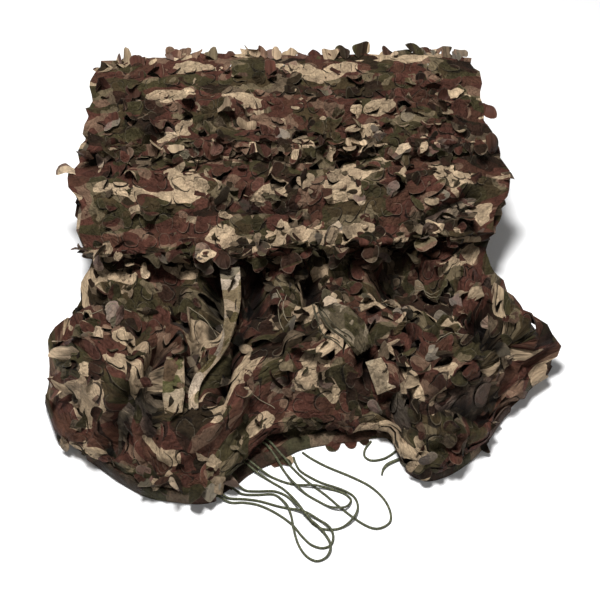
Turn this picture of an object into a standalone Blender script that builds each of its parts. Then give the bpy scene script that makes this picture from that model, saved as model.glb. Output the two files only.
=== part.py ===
"""A camouflage net, folded back and forth into a pile of three tiers, with its cord loops lying out in front.

Metres, +Z up. The origin is on the flat underside, below the middle of the pile, and -Y is the front.
The net is one sheet of eleven layers. It starts at the front hem of the lowest layer and goes back and
forth up to the top layer, whose free edge lies at the back. The lowest tier runs out further than the
others, as an apron with a bag of slack cloth at each front corner.
"""

import math

import bmesh
import bpy
import numpy as np
from mathutils import Vector
from mathutils.bvhtree import BVHTree

# Driving sizes
SHEET_THICK = 0.003
PILE_HEIGHT = 0.180
CORD_THICK = 0.003
TAIL_THICK = 0.004
TAPE_THICK = 0.0015
TAPE_GAP = 0.0009

# How finely the sheet is divided: columns across it, and steps around each fold
COLUMNS = 18
FOLD_STEPS = 3
WIDE_FOLD_STEPS = 6

# One row for each tier, from the floor up: how many layers it has, the height of its uppermost layer where
# the next tier lies on it, the same at its own front, how far from the front it takes to rise, and the share
# of its height by which its side edges sink.
TIERS = [
    {"name": "apron", "layers": 5, "height": 0.066, "front_height": 0.034, "rise": 0.060, "sink": 0.14},
    {"name": "middle", "layers": 4, "height": 0.138, "front_height": 0.108, "rise": 0.120, "sink": 0.10},
    {"name": "top", "layers": 2, "height": PILE_HEIGHT, "front_height": 0.164, "rise": 0.070, "sink": 0.05},
]

# The left and right edges of each tier, from its front to its back: (y, left x, right x)
SIDES = {
    "apron": [
        (-0.250, -0.315, 0.290),
        (-0.190, -0.328, 0.306),
        (-0.155, -0.326, 0.314),
        (-0.130, -0.321, 0.338),
        (-0.100, -0.312, 0.316),
        (-0.060, -0.300, 0.290),
        (0.000, -0.292, 0.266),
        (0.330, -0.300, 0.262),
    ],
    "middle": [(-0.010, -0.292, 0.258), (0.050, -0.302, 0.266), (0.110, -0.318, 0.288), (0.330, -0.300, 0.262)],
    "top": [(0.130, -0.298, 0.276), (0.220, -0.302, 0.264), (0.330, -0.296, 0.254)],
}

# The front edge of each tier, and of the hem under the apron, from left to right: (share of the width, y)
FRONTS = {
    "hem": [
        (0.000, -0.195),
        (0.024, -0.240),
        (0.100, -0.280),
        (0.207, -0.325),
        (0.270, -0.334),
        (0.330, -0.336),
        (0.372, -0.325),
        (0.416, -0.298),
        (0.482, -0.276),
        (0.520, -0.262),
        (0.570, -0.254),
        (0.630, -0.249),
        (0.712, -0.246),
        (0.732, -0.282),
        (0.770, -0.303),
        (0.812, -0.299),
        (0.860, -0.280),
        (0.904, -0.250),
        (0.936, -0.208),
        (0.984, -0.172),
        (1.000, -0.152),
    ],
    "apron": [
        (0.000, -0.190),
        (0.024, -0.234),
        (0.100, -0.270),
        (0.207, -0.310),
        (0.319, -0.321),
        (0.372, -0.303),
        (0.416, -0.262),
        (0.466, -0.236),
        (0.540, -0.231),
        (0.630, -0.232),
        (0.700, -0.236),
        (0.726, -0.268),
        (0.768, -0.293),
        (0.808, -0.290),
        (0.856, -0.271),
        (0.900, -0.242),
        (0.932, -0.201),
        (0.980, -0.166),
        (1.000, -0.147),
    ],
    "middle": [(0.00, -0.002), (0.25, -0.014), (0.50, -0.010), (0.70, 0.008), (1.00, 0.034)],
    "top": [(0.00, 0.138), (0.30, 0.148), (0.60, 0.142), (1.00, 0.160)],
}

# The ends of the layers, one row for each fold or hem from the floor up: the front that it follows, and how
# far behind that front it lies. The back ones lie that far in front of BACK_EDGE.
FRONT_FOLDS = [
    {"follows": "hem", "inset": 0.000},
    {"follows": "apron", "inset": 0.050},
    {"follows": "apron", "inset": 0.000},
    {"follows": "middle", "inset": 0.012},
    {"follows": "middle", "inset": 0.000},
    {"follows": "top", "inset": 0.000},
]
BACK_EDGE = 0.322
BACK_INSETS = [0.006, 0.002, 0.000, 0.005, 0.001, 0.004]

# The back ends wave a little along the width: how far, how often, and the shift from one to the next
BACK_WAVE = {"reach": 0.004, "turn": 9.0, "shift": 2.0}

# The fourth layer dips to this height at its front, so that the apron's front is one wide, round fold
DIP_LAYER = 3
DIP_HEIGHT = 0.0105
DIP_FROM = 0.048
DIP_TO = 0.008

# Swells and hollows of the tiers: middle, half lengths across and along, turn in degrees, height. They start
# a little before a tier's front and are at full height this far behind it.
SWELL_START = -0.012
SWELL_FULL = 0.043
SWELLS = {
    "apron": [
        {"name": "left_bag", "x": -0.235, "y": -0.205, "wide": 0.075, "long": 0.080, "turn": 20, "up": 0.040},
        {"name": "left_lobe", "x": -0.130, "y": -0.270, "wide": 0.040, "long": 0.045, "turn": 0, "up": 0.016},
        {"name": "left_dip", "x": -0.225, "y": -0.065, "wide": 0.090, "long": 0.035, "turn": 0, "up": -0.010},
        {"name": "left_slit", "x": -0.160, "y": -0.235, "wide": 0.018, "long": 0.055, "turn": -8, "up": -0.026},
        {"name": "tape_ridge", "x": -0.086, "y": -0.120, "wide": 0.026, "long": 0.110, "turn": 0, "up": 0.018},
        {"name": "left_mound", "x": -0.012, "y": -0.150, "wide": 0.036, "long": 0.050, "turn": 10, "up": 0.018},
        {"name": "right_mound", "x": 0.058, "y": -0.180, "wide": 0.036, "long": 0.045, "turn": 35, "up": 0.020},
        {"name": "right_hollow", "x": 0.110, "y": -0.035, "wide": 0.085, "long": 0.036, "turn": 12, "up": -0.022},
        {"name": "right_bag", "x": 0.200, "y": -0.195, "wide": 0.075, "long": 0.075, "turn": -15, "up": 0.038},
        {"name": "right_wing", "x": 0.265, "y": -0.085, "wide": 0.060, "long": 0.040, "turn": -35, "up": 0.016},
    ],
    "middle": [
        {"name": "left_roll", "x": -0.240, "y": 0.090, "wide": 0.070, "long": 0.045, "turn": 0, "up": 0.008},
        {"name": "right_roll", "x": 0.090, "y": 0.085, "wide": 0.110, "long": 0.040, "turn": 4, "up": 0.010},
    ],
    "top": [
        {"name": "back_roll", "x": -0.050, "y": 0.285, "wide": 0.200, "long": 0.040, "turn": 0, "up": 0.006},
        {"name": "front_hollow", "x": 0.020, "y": 0.190, "wide": 0.160, "long": 0.030, "turn": 4, "up": -0.008},
        {"name": "back_corner", "x": 0.200, "y": 0.295, "wide": 0.080, "long": 0.045, "turn": 0, "up": 0.008},
    ],
}

# The side edges sink over this share of the width
EDGE_SHARE = 0.14

# The cross rows of a layer, from its front to its back, as shares of its length
PLAIN_ROWS = [0.0, 0.16, 0.36, 0.58, 0.80, 1.0]
APRON_ROWS = [0.0, 0.035, 0.075, 0.12, 0.17, 0.23, 0.29, 0.35, 0.41, 0.48, 0.60, 0.80, 1.0]

# The tape on the apron, from the tier above it down to the front: (x, y, width)
TAPE_ROUTE = [
    (-0.096, -0.020, 0.024),
    (-0.090, -0.060, 0.021),
    (-0.088, -0.105, 0.016),
    (-0.094, -0.148, 0.013),
    (-0.108, -0.182, 0.011),
    (-0.122, -0.206, 0.010),
    (-0.129, -0.230, 0.010),
]
TAPE_STEP = 0.008
TAPE_COLUMNS = 4
TAPE_DROP = 0.007

# The route of each cord, in millimetres: (x, y, height of its underside above the floor)
OVER_HEM = 3.4
CORD_ROUTES = {
    "cord_loop_1": [
        (3, -266, 0), (14, -275, 0), (33, -287, 0), (65, -303, 0), (86, -316, 0), (102, -334, 0),
        (109, -353, 0), (107, -367, 0), (92, -375, 0), (76, -369, 0), (51, -348, 0), (33, -330, 0),
        (17, -316, 0), (1, -301, 0), (-11, -287, 0), (-18, -278, OVER_HEM), (-26, -268, OVER_HEM),
        (-38, -252, OVER_HEM), (-50, -243, OVER_HEM), (-63, -241, OVER_HEM), (-72, -243, OVER_HEM),
    ],
    "cord_loop_2": [
        (-78, -268, OVER_HEM), (-66, -278, OVER_HEM), (-54, -289, OVER_HEM), (-46, -296, OVER_HEM),
        (-34, -303, 0), (-16, -311, 0), (3, -315, 0), (22, -317, 0), (41, -321, 0), (55, -327, 0),
        (62, -336, 0), (55, -347, 0), (40, -347, 0), (22, -337, 0), (6, -326, 0), (-9, -311, 0),
        (-19, -295, 0), (-26, -283, OVER_HEM), (-32, -272, OVER_HEM), (-42, -257, OVER_HEM),
        (-54, -248, OVER_HEM), (-67, -247, OVER_HEM),
    ],
    "cord_loop_3": [
        (-80, -275, OVER_HEM), (-68, -284, OVER_HEM), (-56, -295, OVER_HEM), (-36, -309, 0), (-19, -321, 0),
        (-4, -338, 0), (7, -355, 0), (16, -369, 0), (30, -376, 0), (49, -374, 0), (64, -362, 0),
        (70, -346, 0), (66, -331, 0), (52, -321, 0), (27, -311, 0), (13, -303, 0), (0, -293, 0),
        (-6, -281, 0), (-8, -273, 0),
    ],
    "cord_loop_4": [
        (-124, -313, OVER_HEM), (-111, -320, OVER_HEM), (-97, -328, OVER_HEM), (-86, -333, 0),
        (-68, -334, 0), (-49, -337, 0), (-27, -344, 0), (-4, -350, 0), (14, -358, 0), (31, -370, 0),
        (39, -383, 0), (37, -396, 0), (27, -401, 0), (14, -397, 0), (3, -386, 0), (-9, -370, 0),
        (-27, -355, 0), (-49, -343, 0), (-68, -339, 0), (-84, -339, 0), (-99, -332, OVER_HEM),
        (-112, -325, OVER_HEM), (-124, -318, OVER_HEM),
    ],
    "cord_loop_5": [
        (-90, -302, OVER_HEM), (-82, -311, OVER_HEM), (-75, -317, OVER_HEM), (-66, -322, 0),
        (-52, -323, 0), (-31, -323, 0), (-15, -331, 0), (-2, -347, 0), (11, -363, 0), (23, -375, 0),
        (32, -387, 0), (36, -401, 0), (31, -413, 0), (19, -418, 0), (7, -411, 0), (-2, -396, 0),
        (-8, -375, 0), (-11, -357, 0), (-18, -341, 0), (-31, -328, 0), (-52, -328, 0), (-70, -327, 0),
        (-84, -319, OVER_HEM), (-96, -307, OVER_HEM),
    ],
    "cord_loop_right": [
        (90, -249, 0), (82, -261, 0), (81, -272, 0), (89, -278, 0), (103, -276, 0), (112, -271, 0),
        (120.9, -263.7, 0),
    ],
    "tie_tail": [(129.3, -273.8, 0), (116, -280, 0), (108, -285, 0), (103, -292, 0), (101, -300, 0)],
}

# Cords are laid in fine steps and built in coarser ones. Where one lies over another they are this far apart,
# and the upper one rises over this length on each side. A cord looks for its own earlier run from this many
# thicknesses back along it.
FINE_STEP = 0.001
POINT_STEP = 0.0075
LAID_GAP = 0.0007
HUMP_REACH = 0.022
OWN_RUN = 8
MILLIMETRE = 0.001


def smooth(share):
    """0 below 0, 1 above 1, and a soft step between them."""
    share = min(1.0, max(0.0, share))
    return share * share * (3 - 2 * share)


def slope_at(table, row, column):
    """The slope of a smooth curve through a table's rows, at one of them."""
    before, after = table[max(row - 1, 0)], table[min(row + 1, len(table) - 1)]
    return (after[column] - before[column]) / (after[0] - before[0])


def read(table, at, column=1):
    """A column of a table, read from the smooth curve through its rows. Its first column has the places."""
    if at <= table[0][0]:
        return table[0][column]
    for row in range(len(table) - 1):
        low, high = table[row], table[row + 1]
        if at <= high[0]:
            reach = high[0] - low[0]
            t = (at - low[0]) / reach
            step = t * t * (3 - 2 * t)
            bend_low = slope_at(table, row, column) * reach * t * (1 - t) * (1 - t)
            bend_high = slope_at(table, row + 1, column) * reach * t * t * (1 - t)
            return low[column] * (1 - step) + high[column] * step + bend_low - bend_high
    return table[-1][column]


def swell(row, x, y):
    """The height that one swell adds at a place."""
    turn = math.radians(row["turn"])
    across = (x - row["x"]) * math.cos(turn) + (y - row["y"]) * math.sin(turn)
    along = (y - row["y"]) * math.cos(turn) - (x - row["x"]) * math.sin(turn)
    return row["up"] * math.exp(-((across / row["wide"]) ** 2) - (along / row["long"]) ** 2)


def tier_height(tier, x, y, share):
    """The height of a tier's uppermost layer at a place."""
    row = TIERS[tier]
    inside = y - read(FRONTS[row["name"]], share)
    height = row["front_height"] + (row["height"] - row["front_height"]) * smooth(inside / row["rise"])
    relief = sum(swell(each, x, y) for each in SWELLS[row["name"]])
    return height + relief * smooth((inside - SWELL_START) / (SWELL_FULL - SWELL_START))


def layer_table():
    """A row for each layer, from the floor up: its tier and its place among the tier's layers."""
    return [{"tier": tier, "place": place} for tier, row in enumerate(TIERS) for place in range(row["layers"])]


LAYERS = layer_table()


def front_edge(number, share):
    """The y of a layer's front end."""
    fold = FRONT_FOLDS[(number + 1) // 2]
    return read(FRONTS[fold["follows"]], share) + fold["inset"]


def back_edge(number, share):
    """The y of a layer's back end."""
    fold = number // 2
    wave = math.sin(BACK_WAVE["turn"] * share + BACK_WAVE["shift"] * fold)
    return BACK_EDGE - BACK_INSETS[fold] + BACK_WAVE["reach"] * wave


def layer_height(number, x, y, share):
    """The height of a layer's middle at a place. The lowest layer lies flat on the floor."""
    layer = LAYERS[number]
    lowest = SHEET_THICK / 2
    top = tier_height(layer["tier"], x, y, share)
    if layer["tier"] == 0:
        height = lowest + (top - lowest) * layer["place"] / (TIERS[0]["layers"] - 1)
    else:
        under = tier_height(layer["tier"] - 1, x, y, share)
        height = under + (top - under) * (layer["place"] + 1) / TIERS[layer["tier"]]["layers"]
    edge = 1 - min(share, 1 - share) / EDGE_SHARE
    height = lowest + (height - lowest) * (1 - TIERS[layer["tier"]]["sink"] * smooth(edge))
    if number == DIP_LAYER:
        inside = y - front_edge(number, share)
        height = DIP_HEIGHT + (height - DIP_HEIGHT) * smooth((inside - DIP_TO) / (DIP_FROM - DIP_TO))
    return height


def on_layer(number, share, along):
    """A point of a layer, at a share of the width and a share of the way from its front to its back."""
    front = front_edge(number, share)
    y = front + along * (back_edge(number, share) - front)
    sides = SIDES[TIERS[LAYERS[number]["tier"]]["name"]]
    left, right = read(sides, y, 1), read(sides, y, 2)
    x = left + share * (right - left)
    return Vector((x, y, layer_height(number, x, y, share)))


def on_fold(number, share, angle):
    """A point of the half-round fold that joins a layer to the next one up."""
    at_front = number % 2 == 1
    end = 0.0 if at_front else 1.0
    below, above = on_layer(number, share, end), on_layer(number + 1, share, end)
    middle, half = (below + above) / 2, (above - below) / 2
    outward = Vector((0, -1 if at_front else 1, 0)) * half.length
    return middle - half * math.cos(angle) + outward * math.sin(angle)


def sheet_rows():
    """The sheet's cross rows from its first hem to its last, each as a function of the share of the width."""
    rows = []
    for number, layer in enumerate(LAYERS):
        shares = APRON_ROWS if number in (DIP_LAYER, DIP_LAYER + 1) else PLAIN_ROWS
        for along in shares if number % 2 == 0 else reversed(shares):
            rows.append(lambda share, n=number, a=along: on_layer(n, share, a))
        if number + 1 < len(LAYERS):
            steps = WIDE_FOLD_STEPS if number == DIP_LAYER else FOLD_STEPS
            for step in range(1, steps):
                angle = math.pi * step / steps
                rows.append(lambda share, n=number, a=angle: on_fold(n, share, a))
    return rows


def clear_scene():
    for item in list(bpy.data.objects):
        bpy.data.objects.remove(item, do_unlink=True)


def textile(name, colour, roughness):
    """A plain material for one sub-part."""
    made = bpy.data.materials.new(name)
    made.use_nodes = True
    shader = made.node_tree.nodes["Principled BSDF"]
    shader.inputs["Base Color"].default_value = (*colour, 1)
    shader.inputs["Roughness"].default_value = roughness
    shader.inputs["Metallic"].default_value = 0.0
    return made


def add_object(name, data, material):
    made = bpy.data.objects.new(name, data)
    made.data.materials.append(material)
    bpy.context.scene.collection.objects.link(made)
    return made


def thicken(sheet, thickness):
    """Make a closed solid of an open sheet, half on each side of it."""
    solid = sheet.modifiers.new("Thickness", "SOLIDIFY")
    solid.thickness = thickness
    solid.offset = 0


def make_net(material):
    """The folded net: a flat grid whose points are carried to their places on the layers and folds."""
    rows = sheet_rows()
    grid = bmesh.new()
    bmesh.ops.create_grid(grid, x_segments=COLUMNS, y_segments=len(rows) - 1, size=0.5)
    for point in grid.verts:
        row = round((point.co.y + 0.5) * (len(rows) - 1))
        point.co = rows[row](point.co.x + 0.5)
    bmesh.ops.reverse_faces(grid, faces=grid.faces)
    mesh = bpy.data.meshes.new("camouflage_net")
    grid.to_mesh(mesh)
    grid.free()
    mesh.shade_smooth()
    net = add_object("camouflage_net", mesh, material)
    thicken(net, SHEET_THICK)
    return net


def surface_below(net):
    """A function that drops a point onto the net as it is built, and gives the place and the normal there."""
    tree = BVHTree.FromObject(net, bpy.context.evaluated_depsgraph_get())

    def drop(point):
        place, normal, _, _ = tree.ray_cast(point, Vector((0, 0, -1)))
        return place, normal

    return drop


def above_apron(place):
    """A height just over the apron at a place, under the tier above it."""
    left, right = read(SIDES["apron"], place.y, 1), read(SIDES["apron"], place.y, 2)
    share = (place.x - left) / (right - left)
    return layer_height(TIERS[0]["layers"] - 1, place.x, place.y, share) + TAPE_DROP


def make_tape(net, material):
    """The tape lies on the apron's upper side and follows its slopes."""
    drop = surface_below(net)
    table = [(-y, x, width) for x, y, width in TAPE_ROUTE]
    steps = round((table[-1][0] - table[0][0]) / TAPE_STEP)
    strip = bmesh.new()
    rows = []
    for step in range(steps + 1):
        along = table[0][0] + step * TAPE_STEP
        ahead = read(table, along + TAPE_STEP) - read(table, along - TAPE_STEP)
        across = Vector((2 * TAPE_STEP, ahead, 0)).normalized() * read(table, along, 2)
        row = []
        for column in range(TAPE_COLUMNS + 1):
            middle = Vector((read(table, along), -along, 0)) + across * (column / TAPE_COLUMNS - 0.5)
            place, normal = drop(middle + Vector((0, 0, above_apron(middle))))
            row.append(strip.verts.new(place + normal * (TAPE_THICK / 2 + TAPE_GAP)))
        rows.append(row)
    for low, high in zip(rows, rows[1:]):
        for column in range(TAPE_COLUMNS):
            strip.faces.new((low[column], high[column], high[column + 1], low[column + 1]))
    mesh = bpy.data.meshes.new("edge_tape")
    strip.to_mesh(mesh)
    strip.free()
    thicken(add_object("edge_tape", mesh, material), TAPE_THICK)


def smooth_route(route, thickness):
    """Points every millimetre along a smooth curve through a route's own points."""
    given = [Vector((x, y, under)) * MILLIMETRE + Vector((0, 0, thickness / 2)) for x, y, under in route]
    lengths = [0.0]
    for low, high in zip(given, given[1:]):
        lengths.append(lengths[-1] + (high - low).length)
    table = [(length, *point) for length, point in zip(lengths, given)]
    count = round(lengths[-1] / FINE_STEP) + 1
    line = np.array([[read(table, at, axis) for axis in (1, 2, 3)] for at in np.linspace(0, lengths[-1], count)])
    line[:, 2] = np.maximum(line[:, 2], thickness / 2)
    return line


def needed_heights(points, others, clear):
    """The least height at which each point passes over the other points."""
    heights = points[:, 2].copy()
    for index, point in enumerate(points):
        apart = np.hypot(others[:, 0] - point[0], others[:, 1] - point[1])
        near = apart < clear
        if near.any():
            over = others[near, 2] + np.sqrt(clear**2 - apart[near] ** 2)
            heights[index] = max(heights[index], over.max())
    return heights


def with_humps(points, heights):
    """The points, lifted to the heights that they need in long, low humps."""
    away = np.abs(np.arange(len(points))[:, None] - np.arange(len(points))[None, :]) * FINE_STEP
    hump = 0.5 + 0.5 * np.cos(np.pi * np.minimum(away / HUMP_REACH, 1))
    lifted = points.copy()
    lifted[:, 2] += (hump * (heights - points[:, 2])[None, :]).max(axis=1)
    return lifted


def lay_cords():
    """The centre line of each cord. Each lies over the ones before it, and over its own earlier run."""
    lines = {}
    for name, route in CORD_ROUTES.items():
        thickness = TAIL_THICK if name == "tie_tail" else CORD_THICK
        clear = thickness + LAID_GAP
        line = smooth_route(route, thickness)
        if lines:
            line = with_humps(line, needed_heights(line, np.vstack(list(lines.values())), clear))
        own_gap = round(OWN_RUN * thickness / FINE_STEP)
        heights = line[:, 2].copy()
        for index in range(own_gap, len(line)):
            heights[index] = needed_heights(line[index : index + 1], line[: index - own_gap + 1], clear)[0]
        lines[name] = with_humps(line, heights)
    return lines


def make_cord(name, line, thickness, material):
    """A round tube along a centre line."""
    step = round(POINT_STEP / FINE_STEP)
    count = max(2, round((len(line) - 1) / step) + 1)
    chosen = [line[round(index)] for index in np.linspace(0, len(line) - 1, count)]
    curve = bpy.data.curves.new(name, "CURVE")
    curve.dimensions = "3D"
    curve.bevel_depth = thickness / 2
    curve.bevel_resolution = 2
    curve.use_fill_caps = True
    spline = curve.splines.new("POLY")
    spline.points.add(len(chosen) - 1)
    for point, place in zip(spline.points, chosen):
        point.co = (*place, 1)
    add_object(name, curve, material)


def main():
    clear_scene()
    net = make_net(textile("net_cloth", (0.12, 0.09, 0.06), 0.85))
    make_tape(net, textile("tape_cloth", (0.33, 0.27, 0.18), 0.80))
    cord = textile("cord_braid", (0.05, 0.07, 0.03), 0.75)
    for name, line in lay_cords().items():
        make_cord(name, line, TAIL_THICK if name == "tie_tail" else CORD_THICK, cord)


main()
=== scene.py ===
# %% [markdown]
# # A folded camouflage net, made in Blender
#
# The object is a leaf-cut net, packed flat: one long sheet folded back and forth into three tiers, with its
# front corners spilling out and its tie cords lying in loops in front of it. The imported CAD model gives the
# true size and place of all of it. This notebook keeps that frame and gives each piece its real surface.

# %% Load the frame
import math

import bpy
import numpy as np
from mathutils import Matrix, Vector, noise
from mathutils.bvhtree import BVHTree


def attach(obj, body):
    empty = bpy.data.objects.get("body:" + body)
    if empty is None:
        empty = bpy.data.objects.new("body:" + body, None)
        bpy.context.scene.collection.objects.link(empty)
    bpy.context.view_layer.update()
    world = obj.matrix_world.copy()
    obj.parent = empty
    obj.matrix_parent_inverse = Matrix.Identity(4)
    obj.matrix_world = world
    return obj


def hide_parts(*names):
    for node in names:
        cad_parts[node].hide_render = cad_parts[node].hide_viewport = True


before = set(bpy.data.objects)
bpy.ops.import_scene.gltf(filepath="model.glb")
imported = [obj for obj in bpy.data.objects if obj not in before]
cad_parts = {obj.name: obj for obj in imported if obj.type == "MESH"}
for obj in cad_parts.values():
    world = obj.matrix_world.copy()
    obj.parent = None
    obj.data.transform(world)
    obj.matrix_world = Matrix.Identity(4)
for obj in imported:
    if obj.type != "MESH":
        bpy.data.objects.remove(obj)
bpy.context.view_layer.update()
for item in bpy.context.selected_objects:
    item.select_set(False)

# %% [markdown]
# The camera comes first, because everything is seen through it. The net is seen from the front and from 48
# degrees above. A long lens far away would flatten the pile, and a wide one close by would swell its front, so
# it stands 1.5 m away, and the lens follows from how much of a 36 mm sensor the pile fills.

# %% Camera
CAMERA_ELEVATION = math.radians(48)
CAMERA_DISTANCE = 1.5
CAMERA_AIM = Vector((0.0, -0.07, 0.07))
PIXELS_PER_UNIT_SLOPE = 1130
FRAME_PIXELS = 600
SENSOR_MM = 36.0

towards_camera = Vector((0, -math.cos(CAMERA_ELEVATION), math.sin(CAMERA_ELEVATION)))
camera_data = bpy.data.cameras.new("camera")
camera_data.sensor_width = SENSOR_MM
camera_data.lens = SENSOR_MM * PIXELS_PER_UNIT_SLOPE / FRAME_PIXELS
camera = bpy.data.objects.new("camera", camera_data)
camera.location = CAMERA_AIM + towards_camera * CAMERA_DISTANCE
camera.rotation_euler = towards_camera.to_track_quat("Z", "Y").to_euler()
bpy.context.scene.collection.objects.link(camera)
bpy.context.scene.camera = camera
print("lens", round(camera_data.lens, 1), "mm")

# %% [markdown]
# The net lies on a plain white floor: a flat plane, as no wall comes into view. One bare lamp would draw hard
# shadows, and an even sky none at all. A soft box overhead, a weaker one in front and a dim room all round make
# the tops of the folds bright and let the gaps between leaves go dark.

# %% Floor and lights
FLOOR_SIZE = 8.0
FLOOR_WHITE = (0.93, 0.93, 0.93, 1)
FLOOR_ROUGHNESS = 0.9
# (name, place, size in metres, power in watts)
LAMPS = [("overhead", (-0.22, -0.05, 1.9), 0.5, 58), ("front", (0.9, -1.8, 1.4), 1.6, 8)]
ROOM_LIGHT = 0.1

bpy.ops.mesh.primitive_plane_add(size=FLOOR_SIZE, location=(0, 0, 0))
floor = bpy.context.object
floor.name = "floor"
floor_paint = bpy.data.materials.new("white_floor")
floor_paint.use_nodes = True
floor_inputs = floor_paint.node_tree.nodes["Principled BSDF"].inputs
floor_inputs["Base Color"].default_value = FLOOR_WHITE
floor_inputs["Roughness"].default_value = FLOOR_ROUGHNESS
floor.data.materials.append(floor_paint)

for name, lamp_place, size, power in LAMPS:
    light = bpy.data.lights.new(name, "AREA")
    light.size = size
    light.energy = power
    holder = bpy.data.objects.new(name, light)
    holder.location = lamp_place
    holder.rotation_euler = (holder.location - CAMERA_AIM).to_track_quat("Z", "Y").to_euler()
    bpy.context.scene.collection.objects.link(holder)

room = bpy.data.worlds.new("room")
room.use_nodes = True
room.node_tree.nodes["Background"].inputs["Color"].default_value = (1, 1, 1, 1)
room.node_tree.nodes["Background"].inputs["Strength"].default_value = ROOM_LIGHT
bpy.context.scene.world = room
bpy.context.scene.view_settings.view_transform = "Standard"
print(len(LAMPS), "lamps")

# %% [markdown]
# A smooth curve through a short table is the drawing tool of this notebook. An outline or a route could be a
# curve object drawn by hand, but a table of given places is easier to check and to change: `read` gives
# the value anywhere between its rows.

# %% Reading tables
def smooth(share):
    """0 below 0, 1 above 1, and a soft step between them."""
    share = np.clip(share, 0, 1)
    return share * share * (3 - 2 * share)


def read(table, at, column=1):
    """A column of a table, read from the smooth curve through its rows. Its first column has the places."""
    places = np.array([row[0] for row in table], float)
    values = np.array([row[column] for row in table], float)
    rows = np.arange(len(table))
    before, after = np.maximum(rows - 1, 0), np.minimum(rows + 1, len(table) - 1)
    slopes = (values[after] - values[before]) / (places[after] - places[before])
    at = np.clip(at, places[0], places[-1])
    low = np.clip(np.searchsorted(places, at, side="right") - 1, 0, len(table) - 2)
    reach = places[low + 1] - places[low]
    t = (at - places[low]) / reach
    step = t * t * (3 - 2 * t)
    bend = slopes[low] * reach * t * (1 - t) ** 2 - slopes[low + 1] * reach * t * t * (1 - t)
    return values[low] * (1 - step) + values[low + 1] * step + bend


def metres(thousandths):
    """Numbers of a table in millimetres, or in thousandths of a share, as metres or shares."""
    return np.array(thousandths) / 1000


print("a soft step at one half:", float(smooth(0.5)))


# %% Lengths, directions and new objects
def run_lengths(line):
    """How far along a line of points each of them lies."""
    return np.concatenate([[0], np.cumsum(np.linalg.norm(np.diff(line, axis=0), axis=1))])


def unit(vectors_in):
    """The same directions, with a length of 1."""
    return vectors_in / (np.linalg.norm(vectors_in, axis=-1, keepdims=True) + 1e-12)


def new_piece(name, points, faces, is_smooth=True):
    """An object in the scene with a mesh of these points and faces."""
    mesh = bpy.data.meshes.new(name)
    mesh.from_pydata(points, [], faces)
    mesh.polygons.foreach_set("use_smooth", np.full(len(faces), is_smooth))
    piece = bpy.data.objects.new(name, mesh)
    bpy.context.scene.collection.objects.link(piece)
    return piece


print("a square's edge runs", run_lengths(np.array([[0, 0], [1, 0], [1, 1], [0, 1], [0, 0]])))

# %% [markdown]
# The cords are 3 mm braided cord, tied into the net's front edge, and they lie in long narrow loops on the
# floor. A simulated rope would settle by itself, but never twice in the same loops. Their routes are the CAD
# model's own instead, point by point, and a cord that crosses another rises over it in a long low hump.

# %% Cord routes
CORD_THICK = 0.003
TAIL_THICK = 0.004
OVER_HEM = 0.0034
# (how many points at its start lie on the hem, how many at its end, and all its points in millimetres)
CORD_ROUTES = {
    "cord_loop_1": (0, 6, [
        (3, -266), (14, -275), (33, -287), (65, -303), (86, -316), (102, -334), (109, -353), (107, -367),
        (92, -375), (76, -369), (51, -348), (33, -330), (17, -316), (1, -301), (-11, -287), (-18, -278),
        (-26, -268), (-38, -252), (-50, -243), (-63, -241), (-72, -243),
    ]),
    "cord_loop_2": (4, 5, [
        (-78, -268), (-66, -278), (-54, -289), (-46, -296), (-34, -303), (-16, -311), (3, -315), (22, -317),
        (41, -321), (55, -327), (62, -336), (55, -347), (40, -347), (22, -337), (6, -326), (-9, -311),
        (-19, -295), (-26, -283), (-32, -272), (-42, -257), (-54, -248), (-67, -247),
    ]),
    "cord_loop_3": (3, 0, [
        (-80, -275), (-68, -284), (-56, -295), (-36, -309), (-19, -321), (-4, -338), (7, -355), (16, -369),
        (30, -376), (49, -374), (64, -362), (70, -346), (66, -331), (52, -321), (27, -311), (13, -303),
        (0, -293), (-6, -281), (-8, -273),
    ]),
    "cord_loop_4": (3, 3, [
        (-124, -313), (-111, -320), (-97, -328), (-86, -333), (-68, -334), (-49, -337), (-27, -344),
        (-4, -350), (14, -358), (31, -370), (39, -383), (37, -396), (27, -401), (14, -397), (3, -386),
        (-9, -370), (-27, -355), (-49, -343), (-68, -339), (-84, -339), (-99, -332), (-112, -325),
        (-124, -318),
    ]),
    "cord_loop_5": (3, 2, [
        (-90, -302), (-82, -311), (-75, -317), (-66, -322), (-52, -323), (-31, -323), (-15, -331),
        (-2, -347), (11, -363), (23, -375), (32, -387), (36, -401), (31, -413), (19, -418), (7, -411),
        (-2, -396), (-8, -375), (-11, -357), (-18, -341), (-31, -328), (-52, -328), (-70, -327),
        (-84, -319), (-96, -307),
    ]),
    "cord_loop_right": (0, 0, [
        (90, -249), (82, -261), (81, -272), (89, -278), (103, -276), (112, -271), (120.9, -263.7),
    ]),
    "tie_tail": (0, 0, [
        (129.3, -273.8), (116, -280), (108, -285), (103, -292), (101, -300),
    ]),
}
print(len(CORD_ROUTES), "cords")

# %% Lay the cords
FINE_STEP = 0.001
LAID_GAP = 0.0007
HUMP_REACH = 0.022
OWN_RUN = 8


def smooth_route(route, thickness):
    """Points every millimetre along a smooth curve through a route's own points."""
    first, last, places = route
    undersides = np.zeros(len(places))
    undersides[:first] = undersides[len(places) - last :] = OVER_HEM
    given = np.column_stack([metres(places), undersides + thickness / 2])
    lengths = run_lengths(given)
    table = np.column_stack([lengths, given])
    at = np.linspace(0, lengths[-1], round(lengths[-1] / FINE_STEP) + 1)
    line = np.stack([read(table, at, axis) for axis in (1, 2, 3)], axis=-1)
    line[:, 2] = np.maximum(line[:, 2], thickness / 2)
    return line


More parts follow.
